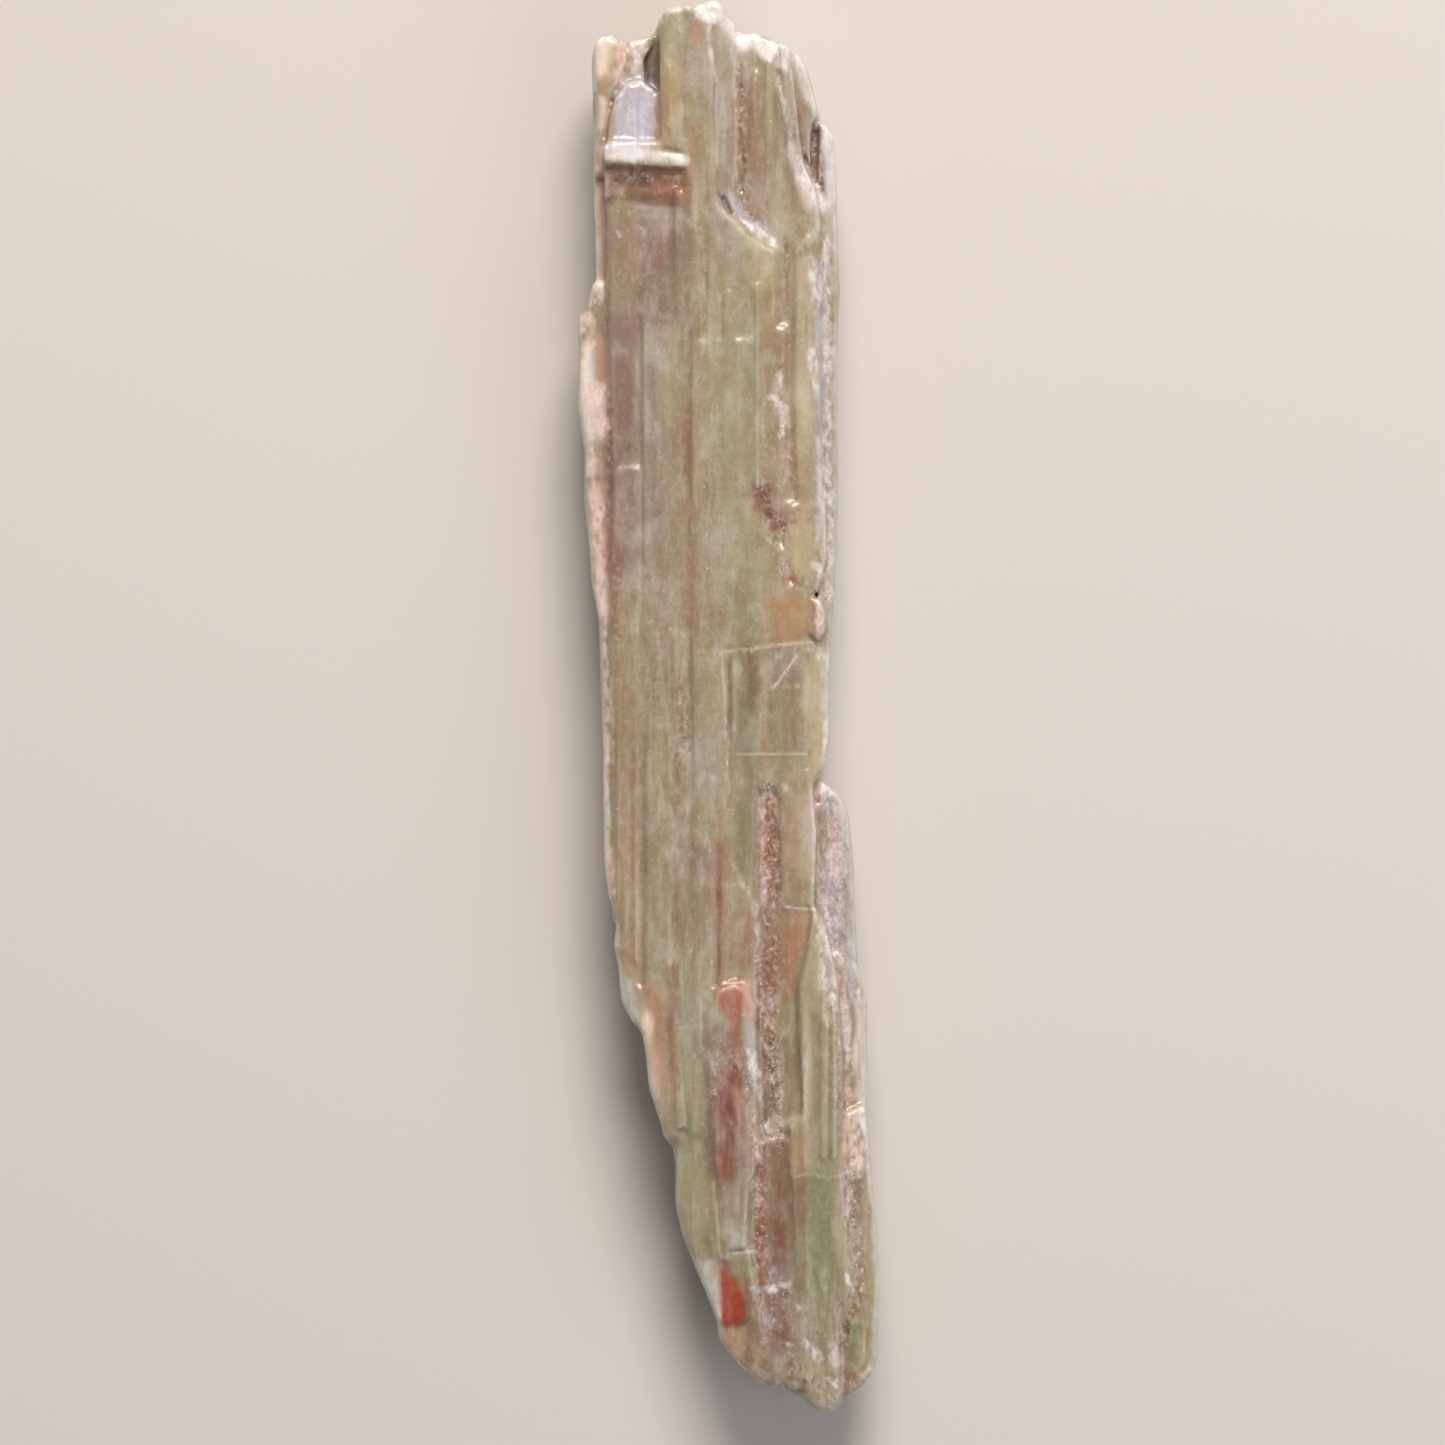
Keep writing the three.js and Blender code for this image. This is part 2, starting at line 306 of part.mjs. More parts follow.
// A flat crystal: its plan outline raised from low to high, with worn edges. The upper face
// may slope along x and y about the middle of the plan, and the lower face along x.
function crystal(plan, low, high, wear, slope = [0, 0], lowerSlope = 0) {
  const shape = new THREE.Shape(plan.map(([x, y]) => new THREE.Vector2(x, y)));
  const geometry = new THREE.ExtrudeGeometry(shape, {
    depth: high - low - 2 * wear,
    bevelEnabled: wear > 0,
    bevelThickness: wear,
    bevelSize: wear,
    bevelOffset: -wear,
    bevelSegments: 1,
  });
  geometry.translate(0, 0, low + wear);
  const middle = new THREE.Box2().setFromPoints(shape.getPoints()).getCenter(new THREE.Vector2());
  moveVertices(geometry, (p) => {
    if (p.z > (low + high) / 2) {
      p.z += slope[0] * (p.x - middle.x) + slope[1] * (p.y - middle.y);
    } else {
      p.z += lowerSlope * (p.x - middle.x);
    }
  });
  return solidOf(geometry);
}

function moveVertices(geometry, move) {
  const place = geometry.getAttribute("position");
  const point = new THREE.Vector3();
  for (let i = 0; i < place.count; i += 1) {
    point.fromBufferAttribute(place, i);
    move(point);
    place.setXYZ(i, point.x, point.y, point.z);
  }
}

// A long straight blade with slanting broken ends. slant is their length in blade widths.
function longBlade(xRange, yRange, low, high, wear, { slantWidths = 0.35, fall = 0 } = {}) {
  const [x0, x1] = xRange;
  const [y0, y1] = yRange;
  const slant = slantWidths * (x1 - x0);
  const plan = [
    [x0, y0 + slant],
    [x0 + 0.4 * (x1 - x0), y0],
    [x1, y0 + 0.5 * slant],
    [x1, y1 - slant],
    [x0 + 0.7 * (x1 - x0), y1],
    [x0, y1 - 0.6 * slant],
  ];
  return crystal(plan, low, high, wear, [0, 0], fall);
}

// The whole outline between two heights, drawn in towards the spine. inset(side, y) is the
// share of the half width that is missing on the -X side (-1) or the +X side (1).
function sheet(low, high, inset) {
  const shape = new THREE.Shape(CLUSTER_OUTLINE.map(([x, y]) => new THREE.Vector2(x, y)));
  const geometry = new THREE.ExtrudeGeometry(shape, { depth: high - low, bevelEnabled: false });
  geometry.translate(0, 0, low);
  moveVertices(geometry, (p) => {
    const spine = SPINE_X + (p.y < 0 ? SPINE_BEND * p.y * p.y : 0);
    const missing = inset(Math.sign(p.x - spine), p.y);
    p.x = spine + (p.x - spine) * (1 - missing);
    p.y *= 1 - 0.2 * missing;
  });
  return solidOf(geometry);
}

// The body of the slab: cleavage sheets stacked like pages, none quite as wide as the next.
function stackedSheets() {
  return SHEETS.map(({ low, high, least, most, wave }) =>
    sheet(low, high, (side, y) => {
      const ripple = 0.5 + 0.5 * Math.sin(wave * y + 2.3 * low + 1.3 * side);
      return least + (most - least) * ripple;
    }),
  );
}

// Fine straight laths, each standing a little above the broad blade that carries it.
function laths() {
  const random = seeded(41);
  return LATH_FIELDS.flatMap(({ x, y, top, slope, count }) =>
    Array.from({ length: count }, (_, i) => {
      const pitch = (x[1] - x[0]) / count;
      const left = x[0] + pitch * (i + 0.1 + 0.4 * random());
      const right = left + pitch * (0.25 + 0.35 * random());
      const length = (y[1] - y[0]) * (0.55 + 0.45 * random());
      const start = y[0] + (y[1] - y[0] - length) * random();
      const middle = (x[0] + x[1]) / 2;
      const rise = LATH_RISE * (0.5 + 0.5 * random()) + slope * ((left + right) / 2 - middle);
      const ends = [start, start + length];
      return longBlade([left, right], ends, top - 1, top + rise, 0.06, { slantWidths: 2.6 });
    }),
  );
}

// Repeatable numbers between 0 and 1.
function seeded(seed) {
  let state = seed;
  return () => {
    state = (state * 16807) % 2147483647;
    return state / 2147483647;
  };
}

function kyaniteSolid() {
  const under = UNDER_BLADES.map(({ x, y, low, fall }) =>
    longBlade(x, y, low, ROOT + 0.8, WEAR, { slantWidths: 0.6, fall }),
  );
  const floors = wasm.Manifold.union(
    FLOOR_BLADES.map(({ x, y, top }) => longBlade(x, y, ROOT - 0.3, top, WEAR)),
  ).intersect(sheet(ROOT - 1, THICKNESS, () => 0.035));
  const face = FACE_BLADES.map(({ plan, top, slope, fine }) =>
    crystal(plan, ROOT, top, fine ? WEAR_FINE : WEAR, slope),
  );
  const body = [...stackedSheets(), ...under, floors, ...face, ...laths()];
  const joined = wasm.Manifold.union(body);
  const broken = wasm.Manifold.union(
    BREAKS.map(({ plan, floor }) => crystal(plan, floor, THICKNESS + 1, 0)),
  );
  return joined.subtract(broken).asOriginal().simplify(SLIVER);
}

function geometryOf(solid) {
  const { numProp, numVert, vertProperties, triVerts } = solid.getMesh();
  const places = new Float32Array(numVert * 3);
  for (let i = 0; i < numVert; i += 1) {
    places.set(vertProperties.subarray(i * numProp, i * numProp + 3), i * 3);
  }
  const geometry = new THREE.BufferGeometry();
  geometry.setAttribute("position", new THREE.BufferAttribute(places, 3));
  geometry.setIndex(new THREE.BufferAttribute(triVerts, 1));
  geometry.computeVertexNormals();
  return geometry;
}

const kyaniteGreen = new THREE.MeshStandardMaterial({
  color: "#a4967a",
  roughness: 0.42,
  metalness: 0,
});

const cluster = new THREE.Group();
const specimen = new THREE.Mesh(geometryOf(kyaniteSolid()), kyaniteGreen);
specimen.name = "kyanite_cluster";
cluster.add(specimen);

export default cluster;
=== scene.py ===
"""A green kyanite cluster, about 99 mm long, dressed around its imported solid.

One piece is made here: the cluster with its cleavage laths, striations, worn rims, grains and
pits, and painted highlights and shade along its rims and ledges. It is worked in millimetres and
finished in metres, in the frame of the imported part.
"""

import bmesh
import bpy
import numpy as np
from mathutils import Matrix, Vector


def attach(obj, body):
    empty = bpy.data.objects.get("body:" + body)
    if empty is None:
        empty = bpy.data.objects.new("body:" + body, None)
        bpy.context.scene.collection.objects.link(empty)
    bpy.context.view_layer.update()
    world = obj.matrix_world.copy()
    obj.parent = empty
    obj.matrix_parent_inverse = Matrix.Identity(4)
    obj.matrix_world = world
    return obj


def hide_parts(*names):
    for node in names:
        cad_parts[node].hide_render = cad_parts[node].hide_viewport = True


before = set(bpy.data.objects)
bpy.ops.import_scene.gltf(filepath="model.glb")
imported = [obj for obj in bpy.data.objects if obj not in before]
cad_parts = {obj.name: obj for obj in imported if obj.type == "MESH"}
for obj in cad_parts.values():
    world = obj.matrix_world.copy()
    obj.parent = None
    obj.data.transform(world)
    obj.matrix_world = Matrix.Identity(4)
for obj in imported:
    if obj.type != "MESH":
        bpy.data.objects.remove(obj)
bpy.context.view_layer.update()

MM = 0.001

# Fineness of the working mesh in millimetres, and how often it is smoothed: lightly to round
# its edges, and much more to tell what stands out of the surface from what lies in it.
WORKING_VOXEL = 0.15
EDGE_ROUNDING_STEPS = 5
BROAD_ROUNDING_STEPS = 16

# Triangles after the sides and the underside are thinned, and in the finished mesh. What
# faces up more than TOP_FACING, as a share of straight up, is left alone by the first step.
ROUGHED_TRIANGLES = 225_000
FINISHED_TRIANGLES = 192_000
TOP_FACING = 0.5

# The scale of each kind of relief in millimetres. It is weaker where the panels are smooth.
BROAD_LATH_STEP = 0.12
FINE_LATH_STEP = 0.05
STRIATION_HEIGHT = 0.008
LUMP_HEIGHT = 0.025
GRAIN_HEIGHT = 0.05
BRUISE_HEIGHT = 0.05
PIT_DEPTH = 0.1
CHIP_DEPTH = 0.16
WORN_EDGE_HEIGHT = 0.05

# The strips in which the outline is looked for, along y, in millimetres.
RIM_STRIP = 0.4

# The cluster's spine bends towards +X below the middle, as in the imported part.
SPINE_X = -0.9
SPINE_BEND = 0.0031

# The table, and what the camera takes in: the width and the middle of its field, at the
# height of the upper face, in metres, with its sensor and its lens in millimetres.
TABLE_HALF = 0.6
FIELD_WIDTH = 0.10115
FIELD_MIDDLE = (-0.000385, -0.001015)
UPPER_FACE = 0.0065
SENSOR = 36
LENS = 180

# What the eye finds on the specimen: the body colours of the crystal and what stains it.
PALETTE = {
    "body": "#a49676",
    "sage": "#a09b79",
    "moss": "#82805c",
    "fern": "#7b8256",
    "olive": "#93875e",
    "khaki": "#aea684",
    "straw": "#bfb391",
    "butter": "#c2b08d",
    "honey": "#b2875d",
    "amber": "#a56d42",
    "tan": "#b8937a",
    "brown": "#83614a",
    "clay": "#7c4f38",
    "umber": "#4d382a",
    "mauve": "#8c7069",
    "rose": "#99604f",
    "blush": "#cfa091",
    "peach": "#f8ded6",
    "cream": "#efdcc2",
    "shell": "#e6d6d2",
    "frost": "#f6f4f4",
    "ice": "#cdcfc8",
    "lavender": "#bab6c6",
    "ash": "#aaa59d",
    "coral": "#aa5638",
    "brick": "#a2380c",
    "wine": "#803f2c",
}

# Soft tones of the upper side, in millimetres: colour, points of the stroke, half width and
# strength. Later strokes lie over earlier ones.
TONES = [
    # The +Y end, from the left.
    ("cream", [(-8.8, 46.3), (-8.7, 44.5)], 0.63, 0.90),
    ("blush", [(-7.6, 45.9), (-7.5, 44.2)], 0.49, 0.90),
    ("tan", [(-8.3, 44.0), (-8.5, 42.3)], 0.63, 0.80),
    ("peach", [(-8.8, 42.0), (-9.0, 40.5)], 0.49, 0.90),
    ("blush", [(-9.2, 39.8), (-9.1, 35.2)], 0.28, 0.80),
    ("umber", [(-5.5, 45.6), (-5.4, 43.7)], 0.63, 1.30),
    ("mauve", [(-5.4, 46.5), (-5.3, 45.8)], 0.35, 0.70),
    ("blush", [(-9.0, 37.1), (-9.0, 30.0)], 0.42, 0.80),
    ("sage", [(-3.9, 48.3), (-3.9, 45.9)], 0.98, 0.70),
    ("butter", [(-4.1, 45.4), (-4.1, 39.1)], 0.84, 0.80),
    ("honey", [(-4.5, 43.4), (-4.4, 38.9)], 0.63, 0.60),
    ("ash", [(-1.7, 45.4), (-1.5, 41.2)], 0.56, 0.45),
    ("body", [(-1.5, 40.5), (-1.5, 36.4)], 0.63, 0.60),
    ("honey", [(-2.4, 40.8), (-2.4, 37.3)], 0.35, 0.50),
    ("ash", [(-0.3, 46.8), (-0.1, 37.0)], 0.63, 0.50),
    ("brown", [(1.8, 43.6), (2.0, 34.7)], 0.63, 0.45),
    ("rose", [(1.8, 43.3), (2.0, 35.2)], 0.49, 0.30),
    ("khaki", [(2.7, 44.5), (3.2, 40.6)], 0.63, 0.85),
    ("moss", [(3.4, 43.1), (3.8, 39.1)], 0.35, 0.35),
    ("body", [(2.9, 38.7), (3.3, 36.3)], 0.63, 0.40),
    ("khaki", [(4.0, 35.6), (4.2, 33.8)], 1.19, 0.50),
    ("mauve", [(4.9, 41.2), (5.0, 38.4)], 0.42, 0.70),
    ("clay", [(6.2, 40.5), (6.2, 36.5)], 0.49, 1.00),
    # Along the edge of the +Y end: a pale worn rim with a painted highlight on it.
    ("frost", [(-2.0, 48.4), (-1.1, 48.0)], 0.49, 0.90),
    ("frost", [(-1.1, 48.9), (0.5, 47.2)], 0.56, 0.80),
    ("frost", [(0.7, 46.9), (2.8, 46.1)], 0.56, 0.90),
    ("frost", [(2.8, 46.2), (5.0, 45.1)], 0.63, 0.80),
    ("frost", [(5.0, 45.1), (6.0, 42.3)], 0.49, 0.70),
    ("lavender", [(0.0, 35.6), (2.7, 32.9)], 0.49, 0.80),
    ("shell", [(4.3, 38.8), (5.2, 36.7)], 0.56, 0.80),
    ("shell", [(5.2, 36.7), (6.4, 35.0)], 0.63, 0.80),
    ("ash", [(6.1, 41.2), (6.3, 37.3)], 0.42, 0.70),
    ("ice", [(7.0, 39.8), (7.3, 32.1)], 0.49, 0.85),
    # The worn left edge.
    ("frost", [(-9.9, 24.9), (-9.7, 19.5)], 0.77, 0.90),
    ("peach", [(-8.8, 22.6), (-8.8, 18.8)], 0.56, 0.90),
    ("blush", [(-9.2, 16.7), (-8.9, 10.4)], 0.63, 0.90),
    ("peach", [(-9.0, 10.4), (-8.8, 6.9)], 0.49, 0.80),
    ("rose", [(-8.3, 18.8), (-8.3, 10.4)], 0.28, 0.80),
    # The long panels.
    ("tan", [(-8.3, 35.9), (-8.2, 30.3)], 0.56, 0.50),
    ("mauve", [(-8.0, 34.5), (-7.7, 26.5)], 0.84, 0.60),
    ("ash", [(-5.1, 35.2), (-5.1, 33.7)], 1.54, 0.45),
    ("mauve", [(-5.3, 33.0), (-5.0, 27.4)], 1.68, 0.85),
    ("mauve", [(-3.6, 32.8), (-3.6, 28.2)], 0.56, 0.60),
    ("brown", [(-5.1, 32.1), (-5.0, 27.9)], 0.84, 0.30),
    ("honey", [(-6.7, 34.5), (-6.7, 29.6)], 0.28, 0.30),
    ("brown", [(-2.7, 35.2), (-2.6, 26.1)], 0.49, 0.35),
    ("ash", [(-0.6, 34.5), (0.5, 31.2)], 0.98, 0.35),
    ("straw", [(2.2, 32.1), (2.7, 29.7)], 0.84, 0.60),
    ("honey", [(2.6, 29.3), (2.8, 25.9)], 0.77, 0.35),
    ("sage", [(0.1, 28.9), (0.0, 26.5)], 1.19, 0.60),
    ("mauve", [(-7.4, 26.5), (-7.2, 10.4)], 1.33, 0.95),
    ("brown", [(-8.1, 21.6), (-7.8, 10.4)], 0.56, 0.30),
    ("brown", [(-6.9, 22.6), (-6.8, 16.7)], 0.49, 0.30),
    ("ash", [(-5.3, 26.5), (-5.2, 11.4)], 0.98, 0.45),
    ("mauve", [(-5.0, 23.0), (-4.9, 4.8)], 0.98, 0.35),
    ("khaki", [(-4.1, 26.5), (-3.9, 20.2)], 0.56, 0.40),
    ("rose", [(-2.8, 21.2), (-2.5, 13.2)], 0.56, 0.45),
    ("ash", [(0.9, 25.6), (1.3, 24.8)], 1.33, 0.45),
    ("sage", [(0.5, 23.5), (0.7, 18.8)], 1.68, 0.85),
    ("moss", [(1.7, 23.0), (1.5, 19.5)], 0.56, 0.30),
    ("sage", [(0.5, 18.1), (0.7, 13.0)], 1.54, 0.60),
    ("rose", [(4.1, 25.8), (3.9, 23.1)], 0.42, 0.40),
    ("rose", [(4.5, 19.5), (4.6, 13.2)], 0.63, 0.45),
    ("straw", [(5.1, 30.7), (5.3, 18.8)], 0.70, 0.95),
    ("butter", [(5.2, 18.1), (5.0, 13.2)], 0.63, 0.50),
    ("lavender", [(6.6, 30.7), (6.8, 12.5)], 0.49, 0.55),
    ("rose", [(-8.1, 13.2), (-7.8, 4.8)], 0.70, 0.55),
    ("mauve", [(-5.1, 14.9), (-5.1, 9.3)], 1.19, 0.45),
    ("rose", [(-2.9, 10.9), (-2.7, 6.0)], 0.70, 0.55),
    ("rose", [(2.1, 15.1), (3.6, 12.5)], 1.05, 0.55),
    ("sage", [(0.7, 12.3), (1.0, 7.6)], 1.40, 0.60),
    ("moss", [(1.0, 7.6), (1.1, 4.4)], 1.12, 0.45),
    ("tan", [(3.9, 10.2), (4.0, 8.4)], 0.84, 0.50),
    # The middle.
    ("rose", [(-7.7, 3.4), (-7.6, -4.3)], 0.63, 0.30),
    ("moss", [(-5.0, 4.1), (-4.9, -2.6)], 0.56, 0.40),
    ("olive", [(-2.2, 4.1), (-1.8, -1.9)], 0.91, 0.35),
    ("olive", [(-3.1, 1.3), (-3.1, -2.9)], 0.42, 0.25),
    ("ash", [(-1.7, -2.8), (-1.5, -4.9)], 1.12, 0.60),
    ("tan", [(-6.9, -4.7), (-6.7, -17.6)], 0.91, 0.35),
    ("olive", [(-5.5, -4.3), (-5.0, -18.7)], 0.77, 0.35),
    ("moss", [(-5.6, -6.4), (-5.5, -11.3)], 0.42, 0.25),
    ("brown", [(-3.7, -3.6), (-3.8, -6.4)], 0.42, 0.40),
    ("ash", [(-2.0, -5.7), (-2.2, -21.1)], 0.84, 0.12),
    ("brown", [(-2.0, -9.9), (-2.0, -16.9)], 0.84, 0.32),
    ("tan", [(-7.0, -10.1), (-6.7, -18.0)], 0.77, 0.30),
    ("brown", [(-3.9, -10.8), (-3.9, -15.9)], 0.35, 0.40),
    ("honey", [(-0.4, -5.7), (-0.3, -9.9)], 0.42, 0.45),
    ("moss", [(1.3, 3.7), (1.3, -2.8)], 0.77, 1.00),
    ("brown", [(1.7, 3.7), (1.7, 0.6)], 0.70, 0.55),
    ("tan", [(4.1, 0.6), (4.1, -2.4)], 0.84, 0.30),
    ("brown", [(0.0, 3.7), (0.1, -1.0)], 0.28, 0.50),
    ("mauve", [(3.7, 3.7), (4.0, 1.7)], 1.19, 0.60),
    ("olive", [(4.0, 0.8), (4.1, -2.7)], 1.26, 0.85),
    ("straw", [(5.5, 2.8), (5.6, -2.6)], 0.28, 0.70),
    ("butter", [(6.4, 3.0), (6.3, -5.7)], 0.70, 0.95),
    ("sage", [(4.1, -3.6), (4.1, -5.5)], 1.12, 0.75),
    ("moss", [(1.5, -3.6), (1.7, -5.4)], 0.70, 0.65),
    ("tan", [(4.9, -5.9), (4.9, -11.5)], 1.05, 0.50),
    ("straw", [(5.5, -6.4), (5.5, -11.3)], 0.42, 0.50),
    ("olive", [(4.7, -12.0), (4.7, -13.4)], 0.70, 0.60),
    ("honey", [(4.9, -14.4), (4.9, -16.6)], 0.98, 0.90),
    ("amber", [(4.4, -15.5), (4.3, -19.9)], 0.49, 0.85),
    ("moss", [(1.2, -6.9), (1.3, -11.6)], 0.70, 0.90),
    ("khaki", [(1.0, -12.3), (1.0, -13.7)], 0.63, 0.60),
    ("rose", [(1.0, -14.4), (1.0, -17.6)], 0.77, 0.65),
    ("rose", [(-0.6, -9.9), (-0.5, -18.5)], 0.56, 0.65),
    ("rose", [(2.9, -6.2), (3.1, -19.4)], 0.70, 0.75),
    # The lower half.
    ("straw", [(5.9, -14.8), (6.3, -19.4)], 0.56, 0.60),
    ("mauve", [(7.4, -7.3), (7.7, -9.9)], 0.63, 0.70),
    ("lavender", [(7.3, -5.9), (7.4, -6.9)], 0.84, 0.80),
    ("lavender", [(8.3, -7.5), (9.0, -13.4)], 0.49, 0.80),
    ("lavender", [(7.4, -11.3), (8.0, -19.4)], 0.91, 0.60),
    ("shell", [(7.6, -7.3), (7.8, -11.2)], 0.63, 0.70),
    ("khaki", [(5.7, -17.6), (5.9, -21.1)], 0.91, 0.75),
    ("olive", [(6.1, -21.7), (6.2, -25.7)], 0.56, 0.80),
    ("sage", [(6.0, -25.7), (6.2, -28.0)], 1.05, 0.85),
    ("ash", [(8.9, -19.4), (9.4, -27.1)], 0.49, 0.50),
    ("shell", [(9.2, -20.7), (9.3, -27.4)], 0.42, 0.80),
    ("shell", [(7.7, -16.9), (7.9, -18.7)], 0.42, 0.60),
    ("blush", [(7.8, -18.5), (8.0, -19.7)], 0.35, 0.60),
    ("lavender", [(8.6, -16.2), (8.8, -19.4)], 0.35, 0.60),
    ("mauve", [(8.5, -20.7), (8.5, -23.6)], 0.28, 0.70),
    ("shell", [(8.0, -20.4), (8.1, -22.5)], 0.35, 0.80),
    ("shell", [(8.2, -22.5), (8.3, -24.6)], 0.28, 0.80),
    ("brown", [(8.54, -24.8), (8.54, -26.5)], 0.21, 0.60),
    ("blush", [(8.0, -26.6), (8.3, -27.7)], 0.42, 0.50),
    ("khaki", [(7.1, -19.7), (7.4, -23.9)], 0.49, 0.50),
    ("ice", [(-6.7, -19.4), (-6.6, -21.4)], 0.63, 0.75),
    ("tan", [(-5.2, -20.1), (-5.0, -27.4)], 0.98, 1.00),
    ("blush", [(-4.8, -22.1), (-4.6, -26.6)], 0.42, 0.30),
    ("honey", [(-5.0, -20.4), (-4.7, -22.9)], 0.56, 0.55),
    ("cream", [(-5.8, -22.0), (-5.3, -27.0)], 0.56, 1.00),
    ("blush", [(-5.3, -23.9), (-5.0, -26.7)], 0.35, 0.50),
    ("cream", [(-6.4, -19.9), (-6.2, -21.3)], 0.42, 0.60),
    ("honey", [(-3.9, -22.5), (-3.6, -25.3)], 0.42, 0.60),
    ("brown", [(-3.9, -18.0), (-3.6, -26.7)], 0.35, 0.60),
    ("ash", [(-2.7, -20.4), (-2.7, -24.8)], 0.77, 0.50),
    ("khaki", [(-2.4, -25.3), (-2.4, -28.1)], 0.70, 0.45),
    ("body", [(-4.6, -27.1), (-3.9, -30.9)], 0.77, 0.40),
    ("mauve", [(-0.3, -22.9), (-0.1, -32.0)], 1.40, 0.65),
    ("coral", [(-0.3, -19.9), (-0.1, -20.9)], 0.63, 1.20),
    ("coral", [(0.6, -19.7), (0.5, -21.6)], 0.63, 1.10),
    ("blush", [(1.3, -19.5), (1.5, -21.6)], 0.49, 0.90),
    ("amber", [(-0.6, -19.9), (-0.4, -20.4)], 0.28, 0.60),
    ("rose", [(0.4, -21.6), (0.3, -23.8)], 0.56, 0.90),
    ("coral", [(0.4, -21.7), (0.4, -22.5)], 0.35, 0.60),
    ("shell", [(1.4, -21.8), (1.5, -23.5)], 0.35, 0.40),
    ("rose", [(0.0, -25.7), (-0.1, -32.2)], 1.05, 0.80),
    ("wine", [(0.4, -24.8), (0.4, -25.9)], 0.28, 0.80),
    ("wine", [(0.1, -25.9), (-0.4, -27.0)], 0.28, 0.60),
    ("wine", [(-0.4, -27.0), (-0.1, -29.0)], 0.56, 0.85),
    ("wine", [(0.1, -28.7), (0.2, -30.2)], 0.35, 0.80),
    ("wine", [(-0.1, -30.2), (-0.1, -32.2)], 0.42, 0.60),
    ("tan", [(0.7, -26.4), (0.7, -28.1)], 0.42, 0.50),
    ("rose", [(1.2, -28.3), (1.3, -29.5)], 0.35, 0.60),
    ("mauve", [(1.0, -29.9), (1.2, -32.0)], 0.56, 0.50),
    ("rose", [(2.0, -28.3), (2.0, -31.4)], 0.28, 0.60),
    ("lavender", [(1.4, -22.9), (1.7, -25.7)], 0.49, 0.50),
    ("olive", [(4.0, -20.4), (4.3, -23.2)], 0.63, 0.80),
    ("brown", [(4.1, -23.6), (4.2, -28.1)], 0.63, 0.70),
    ("olive", [(4.3, -23.9), (4.3, -26.7)], 0.35, 0.50),
    ("butter", [(5.3, -21.8), (5.5, -28.0)], 0.35, 0.60),
    ("rose", [(2.5, -16.9), (2.7, -22.9)], 0.56, 0.50),
    ("mauve", [(2.8, -23.6), (2.9, -29.5)], 0.56, 0.90),
    ("brown", [(2.8, -23.9), (2.9, -29.2)], 0.42, 0.40),
    # The -Y end.
    ("sage", [(-2.7, -28.5), (-2.2, -36.9)], 1.05, 0.75),
    ("moss", [(-3.1, -28.7), (-2.8, -31.6)], 0.63, 0.50),
    ("moss", [(-1.3, -30.9), (-1.2, -38.3)], 0.35, 0.30),
    ("ash", [(0.5, -33.4), (0.6, -37.6)], 0.84, 0.60),
    ("ice", [(-1.8, -38.8), (-1.0, -42.0)], 0.56, 0.90),
    ("brown", [(0.6, -32.0), (0.7, -34.8)], 0.84, 0.40),
    ("rose", [(2.2, -30.9), (2.4, -40.7)], 0.56, 0.95),
    ("brown", [(3.5, -30.2), (3.5, -38.6)], 0.91, 1.15),
    ("wine", [(2.0, -41.1), (2.2, -44.6)], 0.49, 0.60),
    ("mauve", [(3.6, -38.8), (3.5, -44.6)], 0.91, 1.00),
    ("clay", [(3.5, -33.0), (3.5, -38.5)], 0.70, 0.60),
    ("brown", [(3.6, -40.9), (3.6, -44.2)], 0.70, 0.60),
    ("brown", [(3.8, -40.9), (3.8, -44.6)], 0.63, 0.75),
    ("sage", [(6.9, -28.6), (6.9, -32.3)], 1.12, 0.90),
    ("moss", [(7.0, -30.6), (7.0, -31.5)], 0.63, 0.45),
    ("olive", [(5.0, -36.2), (5.0, -41.4)], 0.63, 0.60),
    ("fern", [(6.5, -33.2), (6.5, -41.8)], 0.98, 0.85),
    ("sage", [(7.8, -35.8), (7.7, -40.7)], 0.56, 0.80),
    ("khaki", [(10.0, -32.7), (10.1, -42.5)], 0.42, 0.75),
    ("sage", [(6.0, -40.4), (6.6, -42.7)], 0.91, 0.50),
    ("fern", [(8.8, -43.3), (8.8, -45.9)], 0.63, 0.80),
    ("olive", [(9.4, -43.5), (9.4, -46.2)], 0.42, 0.50),
    ("khaki", [(10.0, -43.3), (10.0, -45.5)], 0.35, 0.50),
    ("sage", [(6.4, -43.9), (6.4, -48.6)], 1.12, 0.45),
    ("honey", [(0.1, -43.4), (0.4, -45.1)], 0.70, 0.85),
    ("olive", [(1.1, -43.5), (1.1, -45.4)], 0.42, 0.50),
    ("tan", [(1.5, -44.9), (2.5, -46.6)], 0.77, 0.55),
    ("clay", [(1.5, -43.5), (1.5, -45.8)], 0.35, 0.70),
    ("mauve", [(2.9, -40.7), (3.4, -42.3)], 0.56, 0.80),
    ("lavender", [(2.8, -42.7), (3.6, -43.1)], 0.35, 0.50),
    ("brown", [(3.9, -43.5), (4.3, -44.6)], 0.35, 0.60),
    ("mauve", [(3.1, -44.6), (3.4, -45.8)], 0.56, 0.60),
    ("brown", [(2.8, -46.1), (3.5, -47.3)], 0.56, 0.70),
    ("straw", [(5.9, -46.0), (6.4, -48.3)], 0.84, 0.60),
    ("tan", [(8.7, -46.2), (9.1, -47.3)], 0.63, 0.70),
    ("shell", [(7.4, -44.6), (7.6, -45.8)], 0.28, 0.60),
    ("brown", [(4.5, -45.8), (5.0, -47.7)], 0.56, 0.70),
    ("rose", [(4.8, -42.1), (4.9, -44.6)], 0.49, 0.30),
    # Over the rest, from the +Y end down.
    ("lavender", [(6.9, 39.8), (7.1, 35.2)], 0.49, 0.60),
    ("frost", [(6.8, 40.0), (7.1, 35.6)], 0.35, 0.50),
